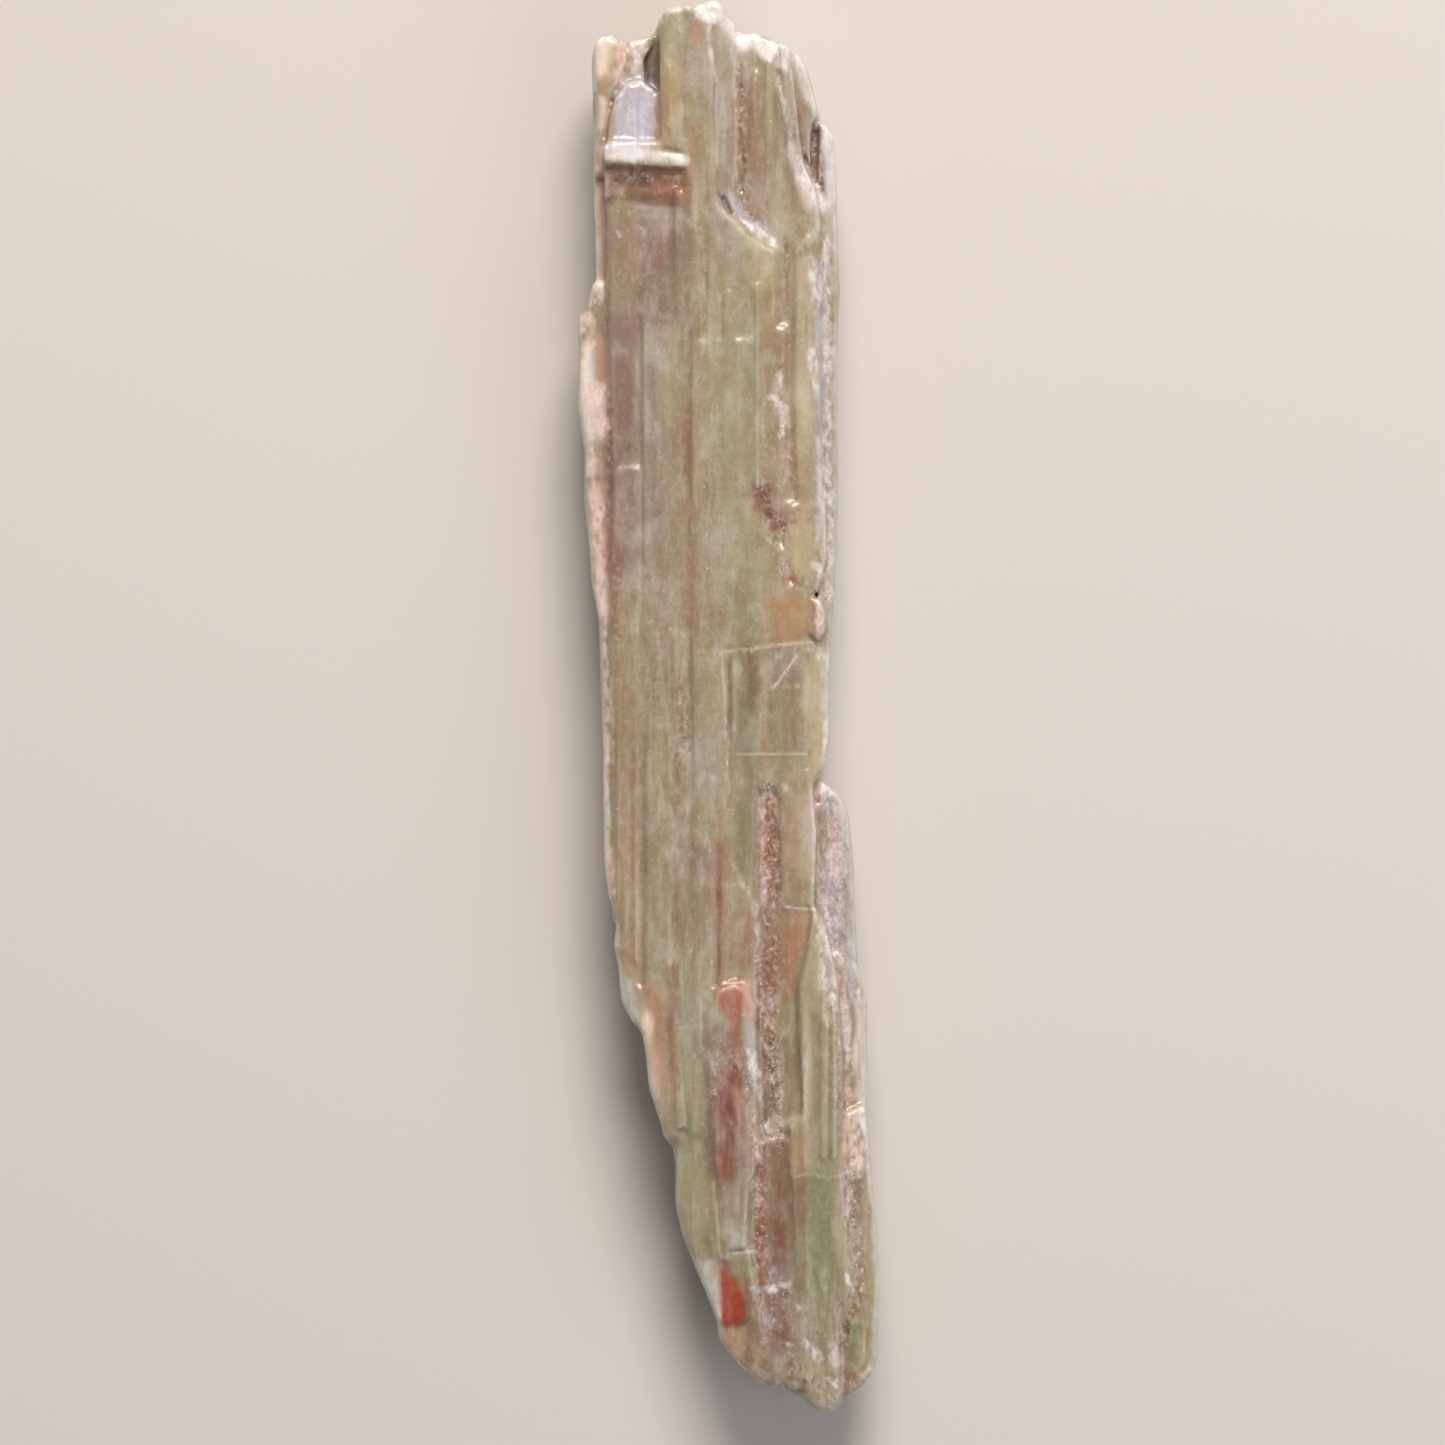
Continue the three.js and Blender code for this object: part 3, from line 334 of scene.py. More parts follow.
    ("brown", [(-5.3, 32.1), (-5.1, 27.9)], 0.98, 0.25),
    ("olive", [(-0.6, 28.6), (-0.6, 24.4)], 1.19, 0.30),
    ("olive", [(0.6, 23.0), (0.6, 19.5)], 1.19, 0.25),
    ("coral", [(0.4, -19.6), (0.4, -20.9)], 0.56, 0.45),
    ("clay", [(3.7, -40.7), (3.7, -44.4)], 0.63, 0.35),
    ("straw", [(0.3, -43.3), (0.5, -45.1)], 0.56, 0.35),
]

# Crisper marks over the tones: cracks, ledges and stains, with at some ledges a painted highlight
# along the lip and painted shade just below it.
MARKS = [
    # The +Y end, from the left.
    ("lavender", [(-6.4, 43.0), (-6.7, 39.6)], 1.40, 0.95),
    # The ledge: a pale lip with a painted highlight along it, and the brown stain of the recess below.
    ("frost", [(-8.4, 38.9), (-6.6, 38.6)], 0.56, 0.62),
    ("cream", [(-8.40, 38.4), (-6.58, 38.1)], 0.18, 0.60),
    ("frost", [(-6.2, 38.6), (-3.1, 38.2)], 0.42, 0.70),
    ("amber", [(-8.54, 37.7), (-2.94, 37.6)], 0.18, 0.80),
    ("brown", [(-8.1, 37.2), (-8.1, 35.6)], 0.49, 0.90),
    # A thin painted shadow right under the ledge's lip.
    ("clay", [(-8.12, 37.4), (-2.94, 37.2)], 0.14, 0.80),
    ("clay", [(-7.7, 36.8), (-3.1, 36.5)], 0.56, 1.20),
    ("umber", [(-7.4, 37.0), (-5.5, 36.8)], 0.35, 0.90),
    ("clay", [(-5.1, 36.5), (-3.2, 36.1)], 0.56, 1.00),
    ("amber", [(-4.8, 36.3), (-3.1, 35.7)], 0.42, 0.55),
    ("brown", [(-6.6, 35.8), (-3.4, 35.2)], 0.56, 0.90),
    ("honey", [(-3.1, 37.0), (-2.9, 35.8)], 0.42, 0.50),
    ("tan", [(-2.2, 47.7), (-2.1, 46.5)], 0.42, 0.75),
    ("brown", [(-3.01, 41.0), (-3.08, 40.2)], 0.21, 0.50),
    ("shell", [(-1.19, 45.7), (-0.84, 43.7)], 0.13, 0.80),
    ("shell", [(-0.84, 43.3), (-0.77, 38.0)], 0.09, 0.60),
    ("shell", [(0.49, 45.4), (0.56, 36.8)], 0.11, 0.50),
    ("brown", [(0.91, 44.8), (1.05, 36.8)], 0.21, 0.60),
    ("brown", [(4.83, 40.6), (5.04, 38.1)], 0.21, 0.60),
    ("umber", [(6.09, 40.7), (6.23, 36.3)], 0.25, 0.50),
    # Painted shade in the narrow slot.
    ("umber", [(-0.63, 35.8), (-0.07, 35.1)], 0.15, 0.50),
    ("tan", [(1.1, 36.5), (1.5, 34.7)], 0.28, 0.60),
    ("lavender", [(-6.58, 35.0), (-3.22, 34.8)], 0.08, 0.50),
    ("lavender", [(-6.16, 34.4), (-3.36, 34.2)], 0.08, 0.50),
    # The worn left edge.
    ("tan", [(-9.0, 25.4), (-8.8, 23.0)], 0.56, 0.80),
    ("tan", [(-9.0, 15.3), (-8.7, 10.7)], 0.42, 0.60),
    # The long panels.
    ("moss", [(-3.9, 31.4), (-3.9, 28.7)], 0.32, 0.40),
    ("olive", [(0.91, 31.4), (1.05, 29.7)], 0.21, 0.40),
    ("brown", [(4.06, 32.4), (4.13, 25.8)], 0.11, 0.50),
    ("umber", [(5.46, 27.4), (5.46, 26.2)], 0.06, 0.50),
    # The pit, the honey plate and what lies round them.
    ("clay", [(2.2, 15.0), (3.4, 12.9)], 0.49, 1.00),
    ("umber", [(2.94, 13.7), (3.29, 12.8)], 0.25, 0.45),
    ("butter", [(5.1, 12.2), (5.3, 10.1)], 0.98, 0.80),
    ("coral", [(4.2, 9.0), (4.7, 8.8)], 0.28, 0.55),
    ("tan", [(1.0, 8.1), (2.7, 7.7)], 0.28, 0.40),
    ("honey", [(3.8, 7.1), (3.8, 5.3)], 0.91, 0.70),
    ("honey", [(5.0, 7.1), (5.0, 5.3)], 0.91, 0.70),
    ("amber", [(6.02, 7.3), (6.09, 4.9)], 0.06, 0.60),
    ("umber", [(6.23, 4.8), (6.37, 4.6)], 0.10, 0.50),
    # Painted highlight along the lip of a ledge, with painted shade just below it in the moss stroke.
    ("cream", [(-1.96, 3.9), (1.96, 4.1)], 0.06, 0.50),
    ("cream", [(1.89, 4.2), (5.88, 4.6)], 0.11, 0.60),
    ("moss", [(0.84, 3.8), (5.46, 4.3)], 0.06, 0.50),
    ("brown", [(-3.92, 5.6), (-3.92, -0.3)], 0.08, 0.60),
    ("cream", [(-0.49, 4.1), (-0.21, -0.1)], 0.07, 0.50),
    ("shell", [(-0.21, -0.1), (0.00, -5.9)], 0.08, 0.50),
    # Painted highlight along the lip of a ledge, with painted shade just below it in the moss stroke.
    ("cream", [(0.70, -3.2), (5.46, -3.2)], 0.09, 0.50),
    ("moss", [(0.84, -3.4), (5.32, -3.4)], 0.07, 0.50),
    ("cream", [(3.92, 1.5), (5.46, 1.5)], 0.06, 0.60),
    ("shell", [(3.29, 1.5), (4.83, 3.7)], 0.06, 0.80),
    ("shell", [(3.01, 1.4), (4.06, 2.2)], 0.06, 0.50),
    ("tan", [(2.66, 2.5), (2.73, -5.4)], 0.07, 0.60),
    # The lower half.
    ("frost", [(-2.87, -16.9), (-2.59, -16.9)], 0.08, 0.60),
    ("clay", [(-3.78, -17.6), (-3.78, -19.4)], 0.11, 0.60),
    ("wine", [(-0.70, -11.8), (-0.63, -13.2)], 0.17, 0.50),
    ("cream", [(4.06, -11.7), (5.46, -11.7)], 0.06, 0.60),
    ("frost", [(3.99, -13.9), (5.95, -14.0)], 0.08, 0.85),
    ("honey", [(4.06, -14.2), (5.88, -14.3)], 0.10, 0.50),
    ("umber", [(2.10, -17.2), (2.17, -22.4)], 0.09, 0.75),
    ("umber", [(2.52, -26.9), (2.66, -29.5)], 0.14, 0.70),
    ("umber", [(2.38, -24.1), (2.94, -24.6)], 0.18, 0.45),
    ("umber", [(8.26, -19.3), (8.40, -20.4)], 0.08, 0.50),
    ("umber", [(7.98, -15.7), (8.19, -16.1)], 0.18, 0.50),
    ("umber", [(9.17, -23.4), (9.24, -26.0)], 0.07, 0.40),
    ("amber", [(4.48, -16.8), (4.41, -19.4)], 0.21, 0.50),
    # A painted highlight along the top edge here.
    ("frost", [(-0.42, -19.2), (0.98, -19.1)], 0.07, 0.70),
    ("cream", [(-3.50, -22.3), (-1.82, -22.3)], 0.06, 0.60),
    ("umber", [(6.30, -6.4), (6.51, -10.1)], 0.09, 0.60),
    # The -Y end.
    ("cream", [(-1.05, -33.0), (-0.49, -38.3)], 0.08, 0.38),
    ("peach", [(-0.42, -38.4), (-0.63, -42.7)], 0.13, 0.70),
    # Painted highlight along the lip of a ledge, with painted shade just below it in the moss stroke.
    ("frost", [(-0.07, -38.0), (2.03, -37.9)], 0.09, 0.80),
    ("moss", [(0.1, -38.8), (1.4, -38.9)], 0.35, 0.50),
    ("clay", [(-0.3, -38.8), (-0.1, -42.7)], 0.42, 0.95),
    ("clay", [(0.7, -40.2), (0.8, -42.6)], 0.77, 0.95),
    ("brick", [(-0.3, -39.3), (-0.2, -42.7)], 0.28, 0.95),
    ("brick", [(0.3, -40.2), (0.4, -42.7)], 0.49, 1.12),
    ("brick", [(0.8, -40.9), (0.9, -42.4)], 0.42, 0.95),
    ("brown", [(1.40, -40.0), (1.40, -42.8)], 0.21, 0.70),
    ("olive", [(0.7, -38.8), (1.0, -39.8)], 0.35, 0.50),
    ("honey", [(0.91, -40.0), (1.26, -41.2)], 0.18, 0.45),
    ("coral", [(0.00, -41.4), (0.07, -42.6)], 0.14, 0.50),
    ("honey", [(5.0, -30.1), (5.0, -32.2)], 0.56, 0.70),
    ("brown", [(5.0, -33.0), (5.0, -35.5)], 0.63, 0.60),
    # Painted highlight along the lip of a ledge, with painted shade just below it in the moss stroke.
    ("cream", [(4.55, -32.7), (5.32, -32.5), (6.30, -32.6), (7.14, -32.8), (7.98, -32.6)], 0.08, 0.42),
    ("moss", [(4.62, -32.9), (7.84, -33.0)], 0.07, 0.25),
    ("honey", [(8.6, -29.1), (8.7, -30.1)], 0.28, 0.50),
    ("brown", [(9.0, -33.0), (9.0, -35.5)], 0.35, 0.45),
    ("brown", [(9.0, -35.5), (9.1, -41.4)], 0.35, 0.45),
    ("brown", [(8.68, -41.7), (7.84, -44.9)], 0.25, 0.50),
    ("cream", [(9.45, -43.0), (9.45, -45.8)], 0.07, 0.50),
    ("brown", [(8.3, -46.5), (9.2, -47.0)], 0.35, 0.60),
    ("umber", [(4.34, -46.8), (5.46, -47.0)], 0.13, 0.60),
    ("umber", [(4.48, -47.6), (5.32, -47.7)], 0.11, 0.50),
    ("umber", [(1.89, -41.4), (2.10, -43.0)], 0.14, 0.40),
]

# Bruised and worn places, where tiny fractures scatter the light and turn the crystal pale, and a
# few painted highlights and glints: colour, points, half width, strength and how much of it sparkles.
FROSTED_AND_GLINTS = [
    # The +Y end, from the left.
    ("peach", [(-8.8, 46.5), (-8.8, 44.7)], 0.63, 1.00, 0.1),
    ("cream", [(-8.1, 46.5), (-8.0, 44.4)], 0.56, 0.85, 0.1),
    ("frost", [(-9.0, 46.8), (-8.1, 46.9)], 0.35, 0.80, 0.9),
    ("peach", [(-7.4, 46.3), (-7.4, 43.7)], 0.49, 0.95, 0.1),
    ("shell", [(-6.3, 46.5), (-6.4, 44.7)], 0.49, 0.95, 0.6),
    ("shell", [(-6.2, 43.5), (-5.7, 43.0)], 0.35, 0.50, 0.6),
    # The ledge's lip, here and in the next two strokes: pale, with a painted highlight along it.
    ("frost", [(-8.4, 38.5), (-6.6, 38.3)], 0.28, 0.70, 0.9),
    ("shell", [(-5.81, 38.4), (-3.08, 38.2)], 0.21, 0.60, 0.6),
    ("cream", [(-8.12, 38.1), (-6.16, 37.8)], 0.21, 0.60, 0.1),
    # The strokes along the edge of the +Y end that follow: a pale worn rim with a painted highlight on
    # it.
    ("ice", [(-4.2, 48.7), (-2.0, 49.1)], 0.42, 0.80, 0.1),
    ("frost", [(-2.0, 48.4), (-1.1, 47.9)], 0.42, 0.95, 0.9),
    ("shell", [(-1.3, 47.9), (-1.1, 45.4)], 0.28, 0.80, 0.6),
    ("ice", [(-0.8, 48.9), (-0.1, 47.7)], 0.56, 0.85, 0.1),
    ("ice", [(0.1, 47.3), (0.7, 45.2)], 0.42, 0.70, 0.1),
    ("frost", [(0.8, 47.0), (2.9, 46.2)], 0.49, 0.85, 0.9),
    ("frost", [(2.8, 46.1), (3.8, 44.8)], 0.49, 0.90, 0.9),
    ("ice", [(4.1, 45.9), (5.6, 43.7)], 0.56, 0.80, 0.1),
    ("frost", [(3.43, 44.2), (4.13, 41.0)], 0.21, 0.75, 0.9),
    ("ice", [(5.6, 43.5), (6.4, 41.0)], 0.35, 0.80, 0.1),
    ("frost", [(6.7, 40.7), (6.9, 39.1)], 0.28, 0.95, 0.9),
    ("lavender", [(4.2, 40.5), (4.8, 37.5)], 0.28, 0.70, 0.4),
    ("frost", [(4.8, 38.4), (5.3, 36.8)], 0.42, 0.80, 0.9),
    ("frost", [(5.2, 37.0), (6.4, 35.1)], 0.63, 0.85, 0.9),
    ("shell", [(-2.94, 39.6), (-2.87, 38.9)], 0.18, 0.60, 0.6),
    ("lavender", [(0.1, 35.6), (1.7, 33.7)], 0.35, 0.90, 0.4),
    ("frost", [(1.4, 33.9), (3.2, 32.5)], 0.28, 0.85, 0.9),
    # The worn left edge.
    ("peach", [(-9.1, 29.7), (-9.1, 28.6)], 0.49, 0.95, 0.1),
    ("peach", [(-10.0, 27.7), (-9.9, 25.4)], 0.56, 0.95, 0.1),
    ("cream", [(-10.0, 25.1), (-9.9, 22.6)], 0.42, 1.00, 0.1),
    ("peach", [(-9.5, 22.1), (-9.1, 19.6)], 0.91, 1.00, 0.1),
    ("peach", [(-9.8, 19.1), (-9.4, 14.6)], 0.56, 1.00, 0.1),
    ("peach", [(-9.2, 14.6), (-8.9, 7.2)], 0.56, 0.95, 0.1),
    ("peach", [(-8.6, 7.0), (-8.6, 2.3)], 0.35, 0.90, 0.1),
    ("peach", [(-8.4, 2.0), (-8.3, -3.6)], 0.35, 0.95, 0.1),
    ("peach", [(-8.5, -3.6), (-8.4, -9.9)], 0.28, 0.90, 0.1),
    ("peach", [(-8.3, -9.9), (-8.1, -14.1)], 0.35, 0.90, 0.1),
    ("cream", [(-7.9, -15.2), (-8.0, -16.6)], 0.35, 0.80, 0.1),
    ("ice", [(-7.3, -20.4), (-6.3, -21.8)], 0.42, 0.60, 0.1),
    # The long panels.
    ("frost", [(-7.63, 33.2), (-7.49, 33.0)], 0.18, 0.50, 0.9),
    ("frost", [(-5.95, 33.5), (-5.88, 33.0)], 0.18, 0.50, 0.9),
    ("ice", [(5.9, 34.9), (6.4, 33.0)], 0.56, 0.70, 0.1),
    # A painted highlight on the frosted right rim.
    ("frost", [(5.7, 31.2), (6.3, 28.7)], 0.42, 0.75, 0.9),
    ("shell", [(3.6, 23.1), (3.4, 21.2)], 0.42, 0.80, 0.6),
    ("frost", [(3.0, 21.8), (3.4, 21.4)], 0.28, 0.80, 0.9),
    ("shell", [(3.9, 21.0), (3.9, 19.0)], 0.35, 0.75, 0.6),
    ("shell", [(4.1, 18.8), (4.1, 16.0)], 0.28, 0.45, 0.6),
    # A painted highlight on the frosted right rim.
    ("frost", [(5.8, 24.9), (6.2, 21.7)], 0.32, 0.70, 0.9),
    ("ice", [(6.1, 28.6), (6.6, 25.1)], 0.35, 0.60, 0.1),
    ("frost", [(6.4, 18.8), (6.7, 14.6)], 0.35, 0.65, 0.9),
    ("frost", [(6.9, 32.8), (7.1, 7.6)], 0.28, 0.50, 0.9),
    # The pit, the honey plate and what lies round them.
    ("blush", [(2.9, 12.7), (3.6, 13.7)], 0.35, 0.40, 0.1),
    ("peach", [(6.3, 7.4), (6.3, 4.9)], 0.28, 0.80, 0.1),
    ("ice", [(6.3, 13.2), (6.4, 10.4)], 0.35, 0.60, 0.1),
    ("frost", [(6.2, 9.9), (7.1, 8.0)], 0.42, 0.65, 0.9),
    # Painted highlights on the pale shoulder, here and in the next stroke.
    ("frost", [(6.0, 4.2), (6.9, 3.2)], 0.49, 0.65, 0.9),
    ("ice", [(6.7, 2.8), (6.7, -0.8)], 0.35, 0.70, 0.1),
    ("frost", [(6.86, -1.0), (6.72, -3.6)], 0.21, 0.60, 0.9),
    # The lower half.
    ("frost", [(-1.4, -4.5), (-0.8, -5.0)], 0.28, 0.40, 0.9),
    ("frost", [(-2.03, -7.6), (-1.54, -7.8)], 0.15, 0.70, 0.9),
    ("frost", [(-1.54, -8.7), (-1.40, -9.9)], 0.18, 0.45, 0.9),
    ("cream", [(0.28, -10.8), (0.98, -12.3)], 0.21, 0.45, 0.1),
    ("shell", [(0.98, -12.3), (1.82, -13.6)], 0.25, 0.55, 0.6),
    ("peach", [(2.38, -6.4), (2.52, -13.8)], 0.21, 0.75, 0.1),
    ("shell", [(1.89, -13.8), (2.24, -18.7)], 0.21, 0.60, 0.6),
    ("peach", [(3.4, -5.3), (3.9, -5.6)], 0.35, 0.60, 0.1),
    ("peach", [(6.0, -6.4), (6.2, -11.3)], 0.28, 0.50, 0.1),
    ("frost", [(6.3, -5.7), (7.7, -5.7)], 0.49, 0.75, 0.9),
    ("ice", [(8.0, -6.4), (8.4, -12.0)], 0.35, 0.75, 0.1),
    ("frost", [(6.6, -15.3), (7.1, -16.9)], 0.35, 0.90, 0.9),
    ("frost", [(6.7, -13.1), (7.0, -15.1)], 0.28, 0.50, 0.9),
    ("shell", [(6.1, -11.9), (6.6, -13.8)], 0.35, 0.60, 0.6),
    ("frost", [(6.3, -15.2), (6.7, -19.4)], 0.35, 0.60, 0.9),
    ("lavender", [(1.68, -18.7), (1.82, -20.4)], 0.21, 0.50, 0.4),
    ("shell", [(-1.7, -23.8), (-1.0, -24.6)], 0.28, 0.35, 0.6),
    ("frost", [(1.5, -23.9), (2.0, -25.9)], 0.32, 0.85, 0.9),
    ("shell", [(2.03, -25.9), (2.31, -27.7)], 0.21, 0.85, 0.6),
    ("blush", [(1.96, -28.1), (2.03, -30.9)], 0.25, 0.70, 0.1),
    ("shell", [(2.03, -30.2), (2.10, -31.5)], 0.18, 0.90, 0.6),
    ("cream", [(2.52, -23.5), (2.73, -23.7)], 0.18, 0.90, 0.1),
    ("cream", [(2.80, -25.7), (3.22, -26.0)], 0.21, 0.80, 0.1),
    ("frost", [(2.66, -29.0), (2.80, -29.5)], 0.14, 0.90, 0.9),
    ("frost", [(9.2, -19.9), (9.4, -20.7)], 0.28, 1.00, 0.9),
    ("shell", [(7.4, -17.3), (7.6, -19.4)], 0.28, 0.70, 0.6),
    ("cream", [(8.05, -19.7), (8.26, -20.2)], 0.18, 0.80, 0.1),
    ("frost", [(7.28, -20.0), (7.42, -20.9)], 0.21, 0.70, 0.9),
    ("cream", [(6.72, -21.4), (6.93, -22.1)], 0.14, 0.70, 0.1),
    ("shell", [(7.6, -23.0), (7.8, -23.8)], 0.28, 0.70, 0.6),
    ("cream", [(8.05, -22.7), (8.47, -23.8)], 0.21, 0.60, 0.1),
    ("cream", [(8.68, -24.8), (8.75, -25.2)], 0.11, 0.70, 0.1),
    ("cream", [(6.93, -26.6), (6.79, -27.2)], 0.14, 0.50, 0.1),
    # The -Y end.
    ("ice", [(-0.3, -36.4), (1.5, -37.7)], 0.56, 0.50, 0.1),
    ("lavender", [(1.68, -40.5), (2.94, -40.6)], 0.21, 0.90, 0.4),
    ("frost", [(2.8, -40.6), (4.3, -40.1)], 0.28, 0.95, 0.9),
    ("lavender", [(3.1, -39.2), (3.8, -40.2)], 0.42, 0.50, 0.4),
    ("peach", [(8.7, -28.4), (9.5, -28.6)], 0.56, 1.00, 0.1),
    ("peach", [(8.8, -28.7), (9.0, -30.7)], 0.63, 0.90, 0.1),
    ("frost", [(9.5, -28.1), (9.7, -30.2)], 0.28, 0.95, 0.9),
    ("cream", [(8.12, -28.7), (8.19, -31.6)], 0.14, 0.70, 0.1),
    ("peach", [(8.5, -30.9), (9.0, -32.2)], 0.63, 0.95, 0.1),
    # A painted highlight.
    ("frost", [(8.26, -39.6), (8.40, -40.0)], 0.18, 1.00, 0.9),
    ("shell", [(8.47, -40.0), (8.75, -40.6)], 0.14, 0.80, 0.6),
    ("frost", [(6.58, -40.3), (6.72, -40.5)], 0.14, 0.90, 0.9),
    ("lavender", [(2.59, -42.6), (3.36, -42.8)], 0.21, 0.70, 0.4),
    ("shell", [(4.20, -44.4), (4.48, -44.5)], 0.14, 0.70, 0.6),
    ("cream", [(4.83, -41.7), (5.11, -41.9)], 0.11, 0.70, 0.1),
    ("shell", [(8.3, -33.4), (8.2, -35.3)], 0.35, 0.55, 0.6),
    ("peach", [(9.5, -46.6), (10.3, -45.9)], 0.35, 0.80, 0.1),
    ("frost", [(5.5, -44.4), (6.4, -45.4)], 0.42, 0.85, 0.9),
    ("shell", [(7.3, -44.5), (7.4, -45.8)], 0.28, 0.60, 0.6),
    # Painted glints, here and in the next stroke.
    ("shell", [(6.86, -46.8), (7.56, -47.0)], 0.18, 0.60, 0.6),
    ("frost", [(7.42, -47.2), (7.70, -47.5)], 0.14, 0.90, 0.9),
    ("cream", [(-0.14, -45.1), (2.38, -47.2)], 0.18, 0.60, 0.1),
]

# Places that are crusted with fine grains: points of the stroke, half width, and how strong
# the grains and the dark pits between them are.
GRAINY = [
    ([(0.9, 44.9), (1.1, 36.3)], 0.42, 0.80, 0.90),
    ([(1.3, 36.3), (1.8, 34.0)], 0.42, 0.70, 0.40),
    ([(4.8, 41.2), (5.2, 37.7)], 0.42, 0.70, 0.80),
    ([(6.2, 40.9), (6.3, 36.3)], 0.42, 0.90, 0.90),
    ([(-8.0, 37.0), (-3.1, 36.7)], 0.49, 0.35, 0.40),
    ([(-5.1, 36.1), (-3.7, 35.4)], 0.42, 0.30, 0.20),
    ([(-6.4, 32.1), (-4.8, 27.7)], 1.12, 0.10, 0.10),
    ([(-9.4, 29.3), (-9.9, 25.8)], 0.56, 0.25, 0.00),
    ([(-8.1, 20.2), (-8.3, 13.2)], 0.35, 0.50, 0.40),
    ([(4.1, 32.8), (4.1, 25.4)], 0.14, 0.70, 0.50),
    ([(3.9, 25.4), (3.5, 23.1)], 0.28, 0.60, 0.20),
    ([(3.9, 21.2), (3.9, 18.8)], 0.28, 0.60, 0.10),
    ([(4.3, 19.5), (4.6, 13.2)], 0.49, 0.45, 0.20),
    ([(6.9, 32.1), (7.1, 10.4)], 0.42, 0.50, 0.10),
    ([(2.5, 15.0), (3.4, 12.7)], 0.77, 0.60, 0.70),
    ([(3.9, 10.0), (5.0, 8.3)], 0.70, 0.50, 0.10),
    ([(6.3, 10.4), (7.0, 7.9)], 0.49, 0.70, 0.10),
    ([(-8.0, 10.4), (-7.8, 4.8)], 0.49, 0.40, 0.30),
    ([(-3.2, 2.0), (-3.1, -2.9)], 0.49, 0.50, 0.50),
    ([(-3.5, -3.6), (-3.4, -6.4)], 0.49, 0.25, 0.20),
    ([(-5.0, 3.4), (-5.0, -2.2)], 0.42, 0.20, 0.30),
    ([(-0.2, 0.6), (0.0, -5.9)], 0.14, 0.70, 0.30),
    ([(2.8, -5.7), (3.1, -13.8)], 0.70, 0.95, 0.35),
    ([(2.9, -13.8), (3.1, -20.4)], 0.63, 0.80, 0.30),
    ([(2.2, -16.9), (2.7, -24.6)], 0.28, 0.90, 0.90),
    ([(2.9, -20.4), (3.4, -28.1)], 0.77, 0.90, 0.40),
    ([(6.9, -6.9), (7.7, -9.9)], 0.98, 0.80, 0.30),
    ([(7.3, -9.9), (8.0, -27.4)], 0.98, 0.75, 0.25),
    ([(-0.7, -23.7), (1.2, -24.9)], 0.70, 0.60, 0.10),
    ([(-0.7, -24.9), (-1.0, -28.1)], 0.42, 0.60, 0.40),
    ([(1.5, -24.3), (1.9, -30.9)], 0.42, 0.70, 0.10),
    ([(2.2, -28.8), (2.3, -38.8)], 0.63, 0.90, 0.50),
    ([(2.5, -38.8), (2.8, -43.5)], 0.63, 0.80, 0.30),
    ([(3.1, -28.1), (3.3, -30.2)], 0.84, 0.90, 0.50),
    ([(2.0, -40.3), (4.3, -40.9)], 0.35, 0.80, 0.20),
    ([(3.6, -41.1), (4.1, -44.6)], 0.84, 0.25, 0.20),
    ([(7.8, -28.8), (8.3, -32.0)], 0.21, 0.50, 0.00),
    ([(8.5, -32.0), (9.1, -41.4)], 0.56, 0.95, 0.60),
    ([(9.1, -41.4), (7.8, -44.9)], 0.49, 0.90, 0.50),
    ([(5.0, -42.1), (7.1, -45.6)], 0.84, 0.30, 0.05),
    ([(4.3, -46.1), (7.8, -48.1)], 0.70, 0.45, 0.30),
    ([(8.5, -46.8), (9.7, -47.0)], 0.56, 0.40, 0.20),
    ([(0.5, -44.2), (3.3, -47.2)], 0.63, 0.20, 0.10),
]

# The crystal's own patterns: width and length of one feature in millimetres, detail and how
# much it wanders.
PATTERNS = {
    "patches": (3.6, 9, 3.0, 0.6),
    "clouds": (1.5, 3.2, 4.0, 0.8),
    "streaks": (0.5, 4.5, 3.0, 0.5),
    "hairs": (0.16, 1.7, 2.0, 0.3),
    "mottling": (0.5, 0.8, 4.0, 0.6),
    "grit": (0.2, 0.26, 3.0, 0.4),
    "specks": (0.22, 0.3, 1.0, 0.0),
}

# Patterns of separate cells, each of its own level: width and length in millimetres.
CELL_PATTERNS = {
    "grains": (0.24, 0.3),
    "crumbs": (0.13, 0.16),
    "facets": (0.7, 2.6),
}

# How the patterns tint the body: pattern, where the tint starts and where it is full, its
# share there and its colour.
BODY_TINTS = [
    ("patches", 0.5, 0.68, 0.3, "mauve"),
    ("patches", 0.5, 0.34, 0.3, "sage"),
    ("clouds", 0.5, 0.68, 0.3, "ice"),
    ("clouds", 0.5, 0.32, 0.3, "olive"),
    ("streaks", 0.55, 0.72, 0.2, "brown"),
    ("streaks", 0.45, 0.3, 0.1, "ice"),
    ("hairs", 0.58, 0.76, 0.08, "frost"),
    ("hairs", 0.42, 0.28, 0.1, "brown"),
    ("mottling", 0.52, 0.75, 0.22, "ice"),
    ("mottling", 0.48, 0.28, 0.26, "brown"),
    ("grit", 0.55, 0.75, 0.14, "frost"),
    ("grit", 0.45, 0.25, 0.2, "brown"),
    # The white specks are painted glints.
    ("specks", 0.75, 0.83, 0.6, "frost"),
    ("specks", 0.24, 0.16, 0.5, "clay"),
]

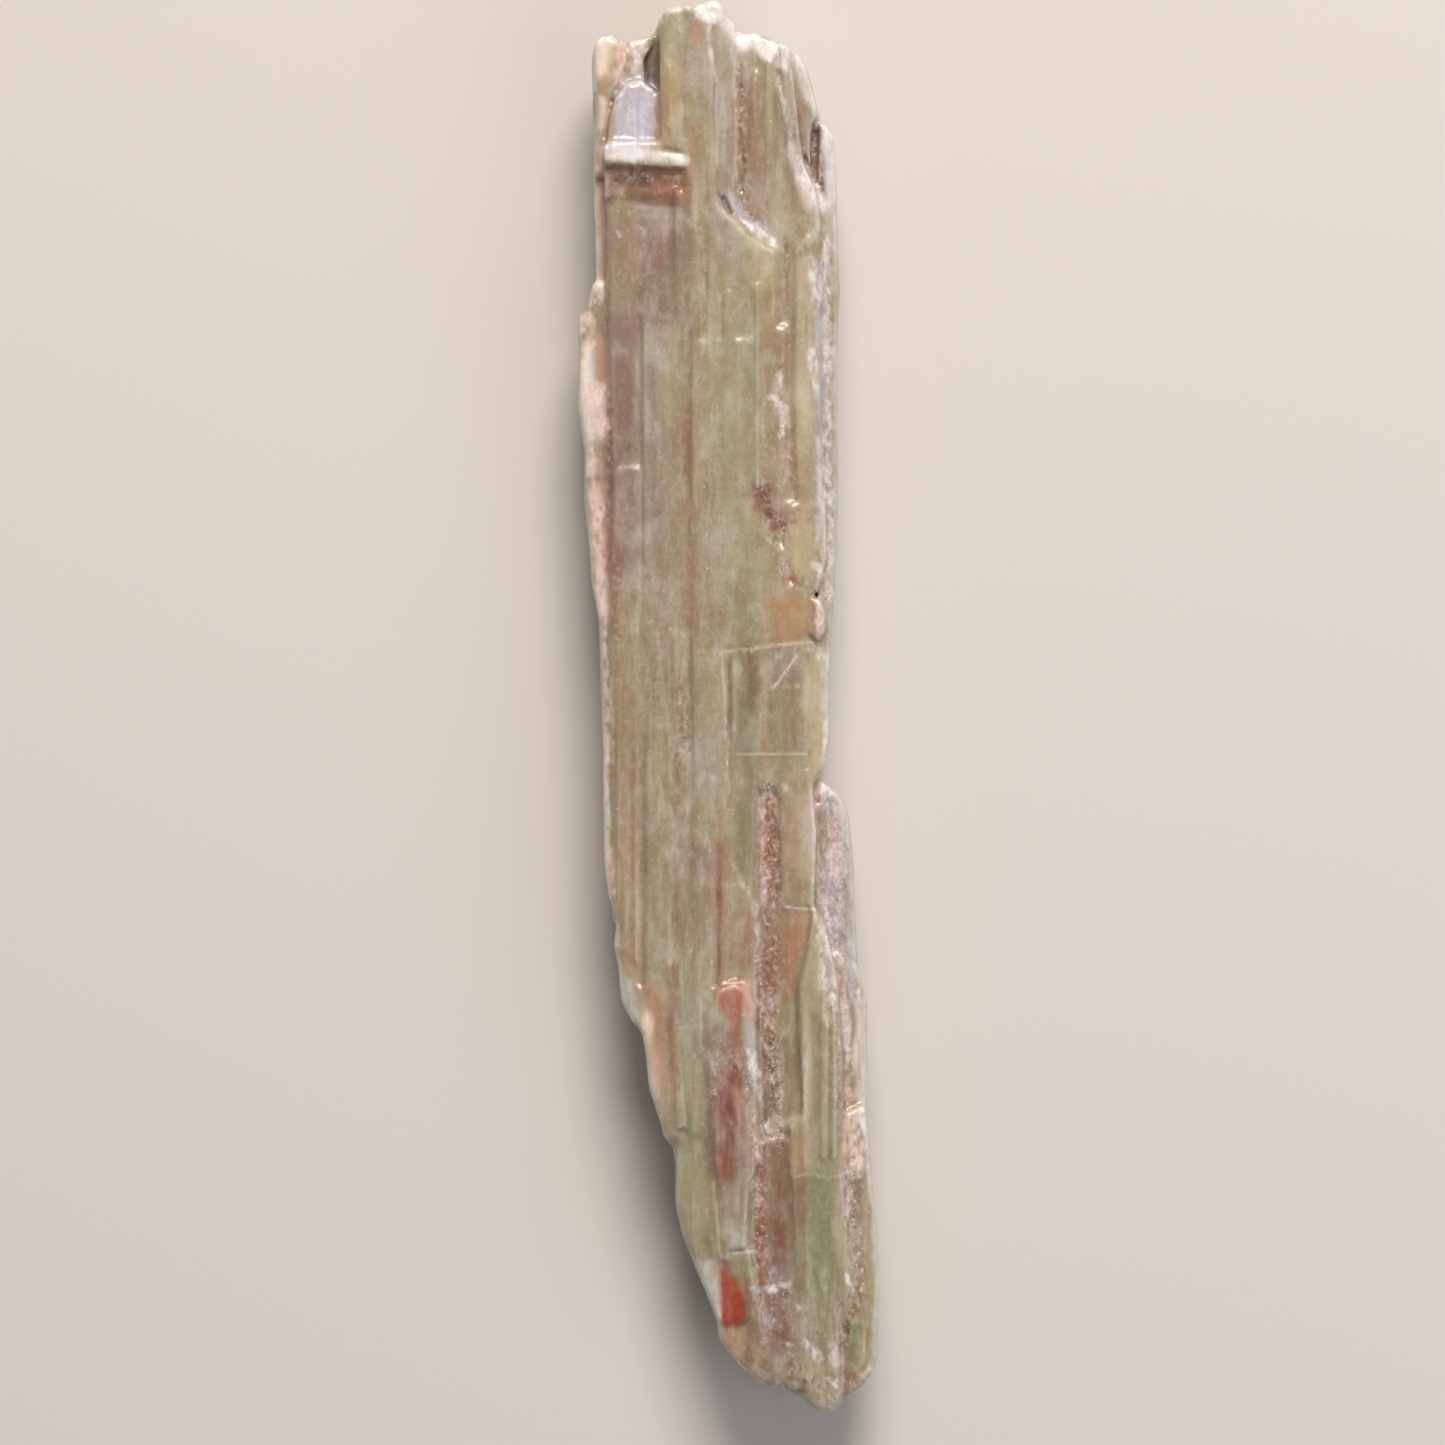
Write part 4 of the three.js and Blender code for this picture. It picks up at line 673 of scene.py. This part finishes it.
# What lies over the body in its own zones, in the same way, with the zone's name.
CRUST_TINTS = [
    ("clouds", 0.3, 0.55, 0.4, "brown", "hollow"),
    ("mottling", 0.48, 0.68, 0.32, "peach", "grainy"),
    ("mottling", 0.52, 0.32, 0.4, "brown", "grainy"),
    ("grains", 0.6, 0.9, 0.25, "shell", "grainy"),
    ("grains", 0.4, 0.1, 0.3, "clay", "grainy"),
    ("crumbs", 0.8, 0.92, 0.5, "frost", "grainy"),
    ("crumbs", 0.2, 0.08, 0.5, "umber", "grainy"),
    ("mottling", 0.47, 0.3, 0.4, "mauve", "frosted_and_glints"),
    ("mottling", 0.45, 0.66, 0.6, "frost", "frosted_and_glints"),
    ("crumbs", 0.7, 0.9, 0.4, "frost", "frosted_and_glints"),
    ("crumbs", 0.3, 0.1, 0.25, "brown", "frosted_and_glints"),
    ("mottling", 0.3, 0.6, 0.5, "umber", "pitted"),
    # What stands out turns paler: worn edges, with a painted highlight on them.
    ("mottling", 0.7, 0.38, 0.65, "frost", "proud"),
]


def linear(code):
    """An sRGB hex colour as linear red, green and blue."""
    shares = [int(code[i : i + 2], 16) / 255 for i in (1, 3, 5)]
    return [s / 12.92 if s <= 0.04045 else ((s + 0.055) / 1.055) ** 2.4 for s in shares]


def scattered(i, j, seed):
    """A repeatable number from 0 to 1 for each whole-numbered place."""
    mixed = (i.astype(np.int64) * 374761393 + j.astype(np.int64) * 668265263 + seed * 1442695041)
    mixed = (mixed ^ (mixed >> 13)) * 1274126177
    mixed = (mixed ^ (mixed >> 16)) & 0xFFFFFF
    return mixed / float(0xFFFFFF)


def rolling(u, v, seed):
    """Smooth noise from -1 to 1 with one bump for each unit of u and v."""
    i, j = np.floor(u), np.floor(v)
    a, b = u - i, v - j
    a, b = a * a * (3 - 2 * a), b * b * (3 - 2 * b)
    near = scattered(i, j, seed) * (1 - a) + scattered(i + 1, j, seed) * a
    far = scattered(i, j + 1, seed) * (1 - a) + scattered(i + 1, j + 1, seed) * a
    return (near * (1 - b) + far * b) * 2 - 1


def cells(u, v, seed):
    """The random level of the nearest scattered cell, and how far its border is."""
    i, j = np.floor(u), np.floor(v)
    nearest = np.full(u.shape, 9.0)
    second = np.full(u.shape, 9.0)
    level = np.zeros(u.shape)
    for di in (-1, 0, 1):
        for dj in (-1, 0, 1):
            ci, cj = i + di, j + dj
            away = np.hypot(
                ci + scattered(ci, cj, seed) - u,
                cj + scattered(ci, cj, seed + 1) - v,
            )
            closer = away < nearest
            second = np.where(closer, nearest, np.minimum(second, away))
            level = np.where(closer, scattered(ci, cj, seed + 2), level)
            nearest = np.where(closer, away, nearest)
    return level, second - nearest


def eased(value, low, high):
    """0 below low, 1 above high and smooth between them."""
    t = np.clip((value - low) / (high - low), 0, 1)
    return t * t * (3 - 2 * t)


def distance_to_stroke(x, y, points):
    """How far each place is from a stroke drawn through the points."""
    away = np.full(x.shape, 1e9)
    for (x0, y0), (x1, y1) in zip(points, points[1:]):
        length = (x1 - x0) ** 2 + (y1 - y0) ** 2
        along = np.clip(((x - x0) * (x1 - x0) + (y - y0) * (y1 - y0)) / length, 0, 1)
        across = np.hypot(x - x0 - along * (x1 - x0), y - y0 - along * (y1 - y0))
        away = np.minimum(away, across)
    return away


def mesh_of(piece):
    """The finished mesh of a piece with its modifiers applied."""
    bpy.context.view_layer.update()
    graph = bpy.context.evaluated_depsgraph_get()
    return bpy.data.meshes.new_from_object(piece.evaluated_get(graph))


def with_modifier(mesh, kind, settings, chosen=()):
    """A mesh passed through one modifier, which may be kept to a group of its vertices."""
    piece = bpy.data.objects.new("working_piece", mesh)
    bpy.context.scene.collection.objects.link(piece)
    modifier = piece.modifiers.new(kind, kind)
    for name, value in settings.items():
        setattr(modifier, name, value)
    if len(chosen):
        piece.vertex_groups.new(name="chosen").add(chosen, 1.0, "REPLACE")
        modifier.vertex_group = "chosen"
    made = mesh_of(piece)
    bpy.data.objects.remove(piece)
    return made


def places(mesh):
    found = np.empty(len(mesh.vertices) * 3, dtype=np.float32)
    mesh.vertices.foreach_get("co", found)
    return found.reshape(-1, 3).astype(np.float64)


def normals(mesh):
    found = np.empty(len(mesh.vertices) * 3, dtype=np.float32)
    mesh.vertex_normals.foreach_get("vector", found)
    return found.reshape(-1, 3).astype(np.float64)


def put_places(mesh, found):
    mesh.vertices.foreach_set("co", found.astype(np.float32).ravel())
    mesh.update()


def averaged(values, edges, rounds):
    """Each vertex's value mixed with its neighbours', again and again."""
    count = len(values)
    degree = np.bincount(edges.ravel(), minlength=count)
    for _ in range(rounds):
        total = np.empty_like(values)
        for axis in range(values.shape[1]):
            column = values[:, axis]
            total[:, axis] = np.bincount(
                edges[:, 0], weights=column[edges[:, 1]], minlength=count
            ) + np.bincount(edges[:, 1], weights=column[edges[:, 0]], minlength=count)
        values = 0.5 * values + 0.5 * total / np.maximum(degree, 1)[:, None]
    return values


def edges_of(mesh):
    found = np.empty(len(mesh.edges) * 2, dtype=np.int32)
    mesh.edges.foreach_get("vertices", found)
    return found.reshape(-1, 2)


def keep_number(mesh, name, values):
    layer = mesh.attributes.new(name, "FLOAT", "POINT")
    layer.data.foreach_set("value", values.astype(np.float32))


def worked_solid():
    """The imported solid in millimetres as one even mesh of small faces."""
    shape = bmesh.new()
    shape.from_mesh(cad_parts["kyanite_cluster"].data)
    bmesh.ops.remove_doubles(shape, verts=shape.verts, dist=1e-7)
    bmesh.ops.scale(shape, vec=(1 / MM,) * 3, verts=shape.verts)
    mesh = bpy.data.meshes.new("solid_in_millimetres")
    shape.to_mesh(mesh)
    shape.free()
    return with_modifier(mesh, "REMESH", {"mode": "VOXEL", "voxel_size": WORKING_VOXEL})


def laths(x, y, z):
    """The levels and the borders of the broad and of the fine cleavage laths."""
    bend = 0.4 * rolling(x / 5, y / 17, 11)
    leaning = x + 0.8 * z + bend
    crossing = x - 0.7 * z + bend
    return cells(leaning / 1.35, y / 13 + 3, 21), cells(crossing / 0.5, y / 7, 31)


def crusted(x, y):
    """How strong the grains and the pits are at each place."""
    wx = x + 0.2 * rolling(x / 0.8, y / 2.0, 61)
    wy = y + 0.5 * rolling(x / 0.8, y / 2.0, 62)
    grains = np.zeros(x.shape)
    pits = np.zeros(x.shape)
    for points, half_width, grain_strength, pit_strength in GRAINY:
        away = distance_to_stroke(wx, wy, points)
        share = 1 - eased(away, half_width * 0.3, half_width * 1.4)
        grains = np.maximum(grains, grain_strength * share)
        pits = np.maximum(pits, pit_strength * share)
    return grains, pits


def bruises_and_glints(x, y):
    """For each stroke, how strongly it covers each place, bruise or painted highlight alike, with
    ragged edges and gaps.
    """
    ragged = rolling(x / 0.32, y / 0.5, 109) + 0.8 * rolling(x / 0.9, y / 2.0, 110)
    crumbled = rolling(x / 0.15, y / 0.2, 114)
    holes = np.clip(0.72 + 0.8 * rolling(x / 0.24, y / 0.4, 112), 0.1, 1)
    for name, points, half_width, strength, sparkle in FROSTED_AND_GLINTS:
        away = distance_to_stroke(x, y, points) + 0.3 * half_width * ragged
        away += 0.08 * crumbled
        share = strength * holes * (1 - eased(away, half_width * 0.3, half_width * 1.3))
        yield name, share, sparkle * share


def weathered(mesh):
    """Moves the vertices into laths, striations, chips, grains and pits."""
    edges = edges_of(mesh)
    rounded = averaged(places(mesh), edges, EDGE_ROUNDING_STEPS)
    put_places(mesh, rounded)
    out = normals(mesh)
    broad = averaged(rounded, edges, BROAD_ROUNDING_STEPS)
    stands_out = np.einsum("ij,ij->i", rounded - broad, out)
    x, y, z = rounded.T
    up = eased(out[:, 2], 0.3, 0.8)
    spine = SPINE_X + SPINE_BEND * np.minimum(y, 0) ** 2

    # The middle of the long panels is almost smooth; the ends and the rims are broken.
    rugged = 0.2 + 0.5 * eased(np.abs(y), 28, 42) + 0.45 * eased(np.abs(x - spine), 5, 8)
    rugged = np.clip(rugged, 0, 0.85)
    (broad_lath, broad_border), (fine_lath, _) = laths(x, y, z)
    hair = rolling((x + 0.8 * z) / 0.2, y / 5, 41) + 0.6 * rolling((x - 0.7 * z) / 0.33, y / 9, 43)
    lumps = rolling(x / 1.6 + z, y / 2.4, 51) + 0.5 * rolling(x / 0.7 + z, y / 1.1, 52)

    bruise_and_glint_share = up * np.max([share for _, share, _ in bruises_and_glints(x, y)], axis=0)
    grains, pits = crusted(x, y)
    grains *= up
    pits *= up
    hollow = eased(-stands_out, 0.02, 0.13)
    proud = eased(stands_out, 0.02, 0.12)

    grain, grain_border = cells(x / 0.32, y / 0.42, 71)
    chip, chip_border = cells(x / 0.8 + z / 0.9, y / 1.3, 81)
    pit, pit_border = cells(x / 0.36, y / 0.45, 91)
    pitted = pits * (pit > 0.66) * eased(pit_border, 0.08, 0.5)

    move = BROAD_LATH_STEP * (broad_lath - 0.6) * eased(broad_border, 0, 0.08)
    move += FINE_LATH_STEP * (fine_lath - 0.55)
    move *= rugged * (1 - 0.5 * grains)
    move += STRIATION_HEIGHT * hair + LUMP_HEIGHT * lumps * (0.5 + rugged)
    move += grains * GRAIN_HEIGHT * (grain - 0.5) * eased(grain_border, 0, 0.3)
    move += bruise_and_glint_share * BRUISE_HEIGHT * (chip - 0.5 + 0.6 * (grain - 0.5))
    move -= PIT_DEPTH * pitted
    move -= proud * rugged * (chip > 0.62) * CHIP_DEPTH * eased(chip_border, 0, 0.35)
    move += proud * WORN_EDGE_HEIGHT * rolling(x / 0.4, y / 0.5, 53)
    # The faces that the specimen rests on stay flat.
    move *= eased(z, 0.02, 0.7)
    moved = rounded + out * move[:, None]
    moved[:, 2] = np.maximum(moved[:, 2], 0)
    put_places(mesh, moved)
    keep_number(mesh, "grainy", grains)
    keep_number(mesh, "pitted", eased(pitted, 0.05, 0.5))
    keep_number(mesh, "hollow", hollow)
    keep_number(mesh, "proud", proud)
    return mesh


def thinned(mesh):
    """The mesh with fewer triangles, first on the sides and the underside, then everywhere."""
    off_the_top = np.flatnonzero(normals(mesh)[:, 2] < TOP_FACING).tolist()
    for budget, chosen in ((ROUGHED_TRIANGLES, off_the_top), (FINISHED_TRIANGLES, ())):
        triangles = sum(len(face.vertices) - 2 for face in mesh.polygons)
        settings = {
            "ratio": budget / triangles,
            "use_collapse_triangulate": True,
            "vertex_group_factor": 0.001,
        }
        mesh = with_modifier(mesh, "DECIMATE", settings, chosen)
    return mesh


def depth_behind_rim(x, y):
    """How far each place lies inside the outline, seen from above."""
    strip = np.floor(y / RIM_STRIP).astype(int)
    strip -= strip.min()
    left = np.full(strip.max() + 1, 9.0)
    right = -left
    np.minimum.at(left, strip, x)
    np.maximum.at(right, strip, x)
    return np.minimum(x - left[strip], right[strip] - x)


def coloured(mesh):
    """Gives each vertex its body colour, tones and marks, with painted highlights, glow and shade
    among them.
    """
    x, y, z = places(mesh).T
    out = normals(mesh)
    up = eased(out[:, 2], -0.3, 0.4)
    cloudy = 0.9 + 0.22 * rolling(x / 0.8, y / 2, 104) + 0.2 * rolling(x / 0.3, y / 0.7, 113)
    lumpy = rolling(x / 1.4, y / 4, 103)
    body = np.tile(linear(PALETTE["body"]), (len(x), 1))

    def tint(name, share):
        nonlocal body
        body = body + (np.array(linear(PALETTE[name])) - body) * share[:, None]

    # Neighbouring laths differ a little in colour, and their borders get a pale painted highlight.
    (broad_lath, broad_border), (fine_lath, _) = laths(x, y, z)
    tint("sage", 0.4 * (broad_lath > 0.6))
    tint("mauve", 0.22 * (broad_lath < 0.25))
    tint("khaki", 0.25 * (fine_lath > 0.75))
    tint("tan", 0.18 * (fine_lath < 0.2))
    tint("ice", 0.2 * (1 - eased(broad_border, 0.04, 0.14)) * eased(lumpy, -0.2, 0.6))
    wx = x + 0.28 * rolling(x / 0.9, y / 2.2, 105)
    wy = y + 0.5 * rolling(x / 0.9, y / 3, 106)
    stained = np.zeros(x.shape)
    for name, points, half_width, strength in TONES:
        away = distance_to_stroke(wx, wy, points)
        share = np.clip(strength * up * cloudy, 0, 1)
        share *= 1 - eased(away, half_width * 0.3, half_width * 1.5)
        tint(name, share)
        stained = np.maximum(stained, 0.55 * share)
    wx = x + 0.07 * rolling(x / 0.5, y / 1.4, 107)
    wy = y + 0.04 * rolling(x / 0.8, y / 2, 108)
    frayed = rolling(x / 0.35, y / 0.8, 111)
    for name, points, half_width, strength in MARKS:
        away = distance_to_stroke(wx, wy, points) * (1 + 0.22 * frayed)
        soft = min(0.5 * half_width, 0.4) + 0.05
        share = np.clip(strength * up * (cloudy + 0.2 * frayed), 0, 1)
        share *= 1 - eased(away, half_width - soft, half_width + soft)
        tint(name, share)
        stained = 1 - (1 - stained) * (1 - share)
    # The worn rim is thin enough to let light through: the pale tint here is painted light, a painted
    # glow along the rim that also lifts the outward-facing sides.
    painted_rim_glow = 1 - eased(depth_behind_rim(x, y) + 0.12 * frayed, 0.05, 0.5)
    tint("ice", 0.75 * painted_rim_glow * eased(z, 1.5, 5))
    # Bruised places turn pale, and the painted highlights and glints are tinted in with them.
    frosted_and_glints = np.zeros(x.shape)
    for name, share, sparkle in bruises_and_glints(x, y):
        tint(name, 0.92 * up * share)
        frosted_and_glints = np.maximum(frosted_and_glints, up * sparkle)
    keep_number(mesh, "frosted_and_glints", frosted_and_glints)
    keep_number(mesh, "stained", stained)
    layer = mesh.attributes.new("body_colour", "FLOAT_COLOR", "POINT")
    opaque = np.concatenate([body, np.ones((len(x), 1))], axis=1)
    layer.data.foreach_set("color", opaque.astype(np.float32).ravel())
    return mesh


def made_cluster():
    """The finished piece, in metres, with nothing of it under the table."""
    mesh = coloured(thinned(weathered(worked_solid())))
    resting = places(mesh)
    resting[:, 2] = np.maximum(resting[:, 2], 0)
    put_places(mesh, resting * MM)
    mesh.shade_smooth()
    mesh.name = "kyanite_blades"
    piece = bpy.data.objects.new("kyanite_blades", mesh)
    bpy.context.scene.collection.objects.link(piece)
    return piece


def node(tree, kind, settings=None, inputs=None):
    """Adds a shader node with its settings, and feeds its inputs from values or sockets."""
    made = tree.nodes.new(kind)
    for name, value in (settings or {}).items():
        setattr(made, name, value)
    for key, value in (inputs or {}).items():
        if isinstance(value, bpy.types.NodeSocket):
            tree.links.new(value, made.inputs[key])
        else:
            made.inputs[key].default_value = value
    return made


def satin_kyanite():
    """Kyanite, a vitreous to pearly silicate: milky body light, streaks along the blades.

    A colour Mix node takes its share at input 0 and its colours at 6 and 7, and gives the
    result at output 2. A Map Range node takes the value, the range it comes from and the
    range it goes to, at inputs 0 to 4.
    """
    material = bpy.data.materials.new("satin_kyanite")
    material.use_nodes = True
    tree = material.node_tree
    tree.nodes.clear()
    place = node(tree, "ShaderNodeTexCoord").outputs["Object"]
    tone = node(tree, "ShaderNodeAttribute", {"attribute_name": "body_colour"}).outputs["Color"]
    zones = {
        name: node(tree, "ShaderNodeAttribute", {"attribute_name": name}).outputs["Fac"]
        for name in ("stained", "grainy", "frosted_and_glints", "pitted", "hollow", "proud")
    }
    patterns = {}
    for name, (wide, long, detail, wander) in PATTERNS.items():
        scale = (1 / (wide * MM), 1 / (long * MM), 1 / (wide * MM))
        stretched = node(tree, "ShaderNodeMapping", {}, {"Vector": place, "Scale": scale})
        inputs = {
            "Vector": stretched.outputs[0],
            "Scale": 1.0,
            "Detail": detail,
            "Distortion": wander,
        }
        patterns[name] = node(tree, "ShaderNodeTexNoise", {}, inputs).outputs["Fac"]
    for name, (wide, long) in CELL_PATTERNS.items():
        scale = (1 / (wide * MM), 1 / (long * MM), 1 / (wide * MM))
        stretched = node(tree, "ShaderNodeMapping", {}, {"Vector": place, "Scale": scale})
        inputs = {"Vector": stretched.outputs[0], "Scale": 1.0}
        patterns[name] = node(tree, "ShaderNodeTexVoronoi", {}, inputs).outputs["Color"]

    plain_tone = tone
    for pattern, start, full, most, colour in BODY_TINTS:
        ramp = {0: patterns[pattern], 1: start, 2: full, 3: 0.0, 4: most}
        share = node(tree, "ShaderNodeMapRange", {}, ramp).outputs[0]
        layers = {0: share, 6: tone, 7: (*linear(PALETTE[colour]), 1)}
        tone = node(tree, "ShaderNodeMix", {"data_type": "RGBA"}, layers).outputs[2]

    # A stain hides most of the pattern of the crystal under it.
    hiding = {0: patterns["mottling"], 1: 0.3, 2: 0.7, 3: 1.0, 4: 0.6}
    share = node(tree, "ShaderNodeMapRange", {}, hiding).outputs[0]
    both = {0: share, 1: zones["stained"]}
    share = node(tree, "ShaderNodeMath", {"operation": "MULTIPLY"}, both).outputs[0]
    layers = {0: share, 6: tone, 7: plain_tone}
    tone = node(tree, "ShaderNodeMix", {"data_type": "RGBA"}, layers).outputs[2]

    for pattern, start, full, most, colour, zone in CRUST_TINTS:
        ramp = {0: patterns[pattern], 1: start, 2: full, 3: 0.0, 4: most}
        share = node(tree, "ShaderNodeMapRange", {}, ramp).outputs[0]
        both = {0: share, 1: zones[zone]}
        share = node(tree, "ShaderNodeMath", {"operation": "MULTIPLY"}, both).outputs[0]
        layers = {0: share, 6: tone, 7: (*linear(PALETTE[colour]), 1)}
        tone = node(tree, "ShaderNodeMix", {"data_type": "RGBA"}, layers).outputs[2]

    # Fine striations everywhere, and sugary grains where the crust is.
    relief = node(
        tree,
        "ShaderNodeBump",
        {},
        {"Strength": 0.35, "Distance": 0.04 * MM, "Height": patterns["hairs"]},
    )
    relief = node(
        tree,
        "ShaderNodeBump",
        {},
        {
            "Strength": 0.4,
            "Distance": 0.06 * MM,
            "Height": patterns["mottling"],
            "Normal": relief.outputs[0],
        },
    )
    both = {0: zones["grainy"], 1: zones["frosted_and_glints"]}
    crust = node(tree, "ShaderNodeMath", {"operation": "ADD", "use_clamp": True}, both)
    rough = node(tree, "ShaderNodeMath", {"operation": "MAXIMUM"}, {0: crust.outputs[0], 1: 0.3})
    relief = node(
        tree,
        "ShaderNodeBump",
        {},
        {
            "Strength": rough.outputs[0],
            "Distance": 0.05 * MM,
            "Height": patterns["specks"],
            "Normal": relief.outputs[0],
        },
    )

    # Cleavage facets lean a little this way and that, so they do not shine all at once.
    lean = node(
        tree,
        "ShaderNodeVectorMath",
        {"operation": "MULTIPLY_ADD"},
        {0: patterns["facets"], 1: (0.16, 0.08, 0), 2: (-0.08, -0.04, 0)},
    )
    leaning = node(
        tree, "ShaderNodeVectorMath", {}, {0: relief.outputs[0], 1: lean.outputs[0]}
    )
    facing = node(
        tree, "ShaderNodeVectorMath", {"operation": "NORMALIZE"}, {0: leaning.outputs[0]}
    )
    gloss = node(
        tree, "ShaderNodeMapRange", {}, {0: patterns["clouds"], 1: 0.35, 2: 0.65, 3: 0.28, 4: 0.46}
    )
    glints = {0: crust.outputs[0], 1: -0.14, 2: gloss.outputs[0]}
    gloss = node(tree, "ShaderNodeMath", {"operation": "MULTIPLY_ADD"}, glints)
    shader = node(
        tree,
        "ShaderNodeBsdfPrincipled",
        {},
        {
            "Base Color": tone,
            "Roughness": gloss.outputs[0],
            "IOR": 1.72,
            "Normal": facing.outputs[0],
            "Coat Weight": 0.12,
            "Coat Roughness": 0.15,
            "Subsurface Weight": 0.4,
            "Subsurface Radius": (1.2, 1.1, 0.8),
            "Subsurface Scale": MM,
        },
    )
    node(tree, "ShaderNodeOutputMaterial", {}, {"Surface": shader.outputs[0]})
    return material


def matt_paper():
    """Uncoated card: a pale, even ground without a shine, so the crystal stands out."""
    material = bpy.data.materials.new("matt_paper")
    material.use_nodes = True
    shader = material.node_tree.nodes["Principled BSDF"]
    shader.inputs["Base Color"].default_value = (*linear("#d8d4cf"), 1)
    shader.inputs["Roughness"].default_value = 0.9
    return material


def soft_light(name, place, size, power, colour):
    """A round soft light aimed at the specimen."""
    lamp = bpy.data.lights.new(name, "AREA")
    lamp.shape = "DISK"
    lamp.size = size
    lamp.energy = power
    lamp.color = linear(colour)
    stand = bpy.data.objects.new(name, lamp)
    stand.location = place
    aim = Vector((0, 0, 0.005)) - stand.location
    stand.rotation_euler = aim.to_track_quat("-Z", "Y").to_euler()
    bpy.context.scene.collection.objects.link(stand)


def studio():
    """A pale table, soft daylight from past the +Y end, and a camera straight above."""
    shape = bmesh.new()
    bmesh.ops.create_grid(shape, x_segments=1, y_segments=1, size=TABLE_HALF)
    mesh = bpy.data.meshes.new("table_top")
    shape.to_mesh(mesh)
    shape.free()
    table = bpy.data.objects.new("table_top", mesh)
    bpy.context.scene.collection.objects.link(table)
    mesh.materials.append(matt_paper())

    soft_light("window", (0.055, 0.52, 0.46), 0.35, 5.4, "#fff5ed")
    soft_light("bounce", (0.3, -0.2, 0.3), 0.4, 0.55, "#f4f6ff")
    world = bpy.data.worlds.new("room")
    world.use_nodes = True
    sky = world.node_tree.nodes["Background"]
    sky.inputs["Color"].default_value = (*linear("#f5eeea"), 1)
    sky.inputs["Strength"].default_value = 0.26
    bpy.context.scene.world = world

    camera = bpy.data.cameras.new("overhead")
    camera.sensor_width = SENSOR
    camera.lens = LENS
    stand = bpy.data.objects.new("overhead", camera)
    stand.location = (*FIELD_MIDDLE, UPPER_FACE + FIELD_WIDTH * LENS / SENSOR)
    bpy.context.scene.collection.objects.link(stand)
    bpy.context.scene.camera = stand
    bpy.context.scene.view_settings.view_transform = "Standard"


cluster = made_cluster()
cluster.data.materials.clear()
cluster.data.materials.append(satin_kyanite())
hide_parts("kyanite_cluster")
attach(cluster, "root")
studio()
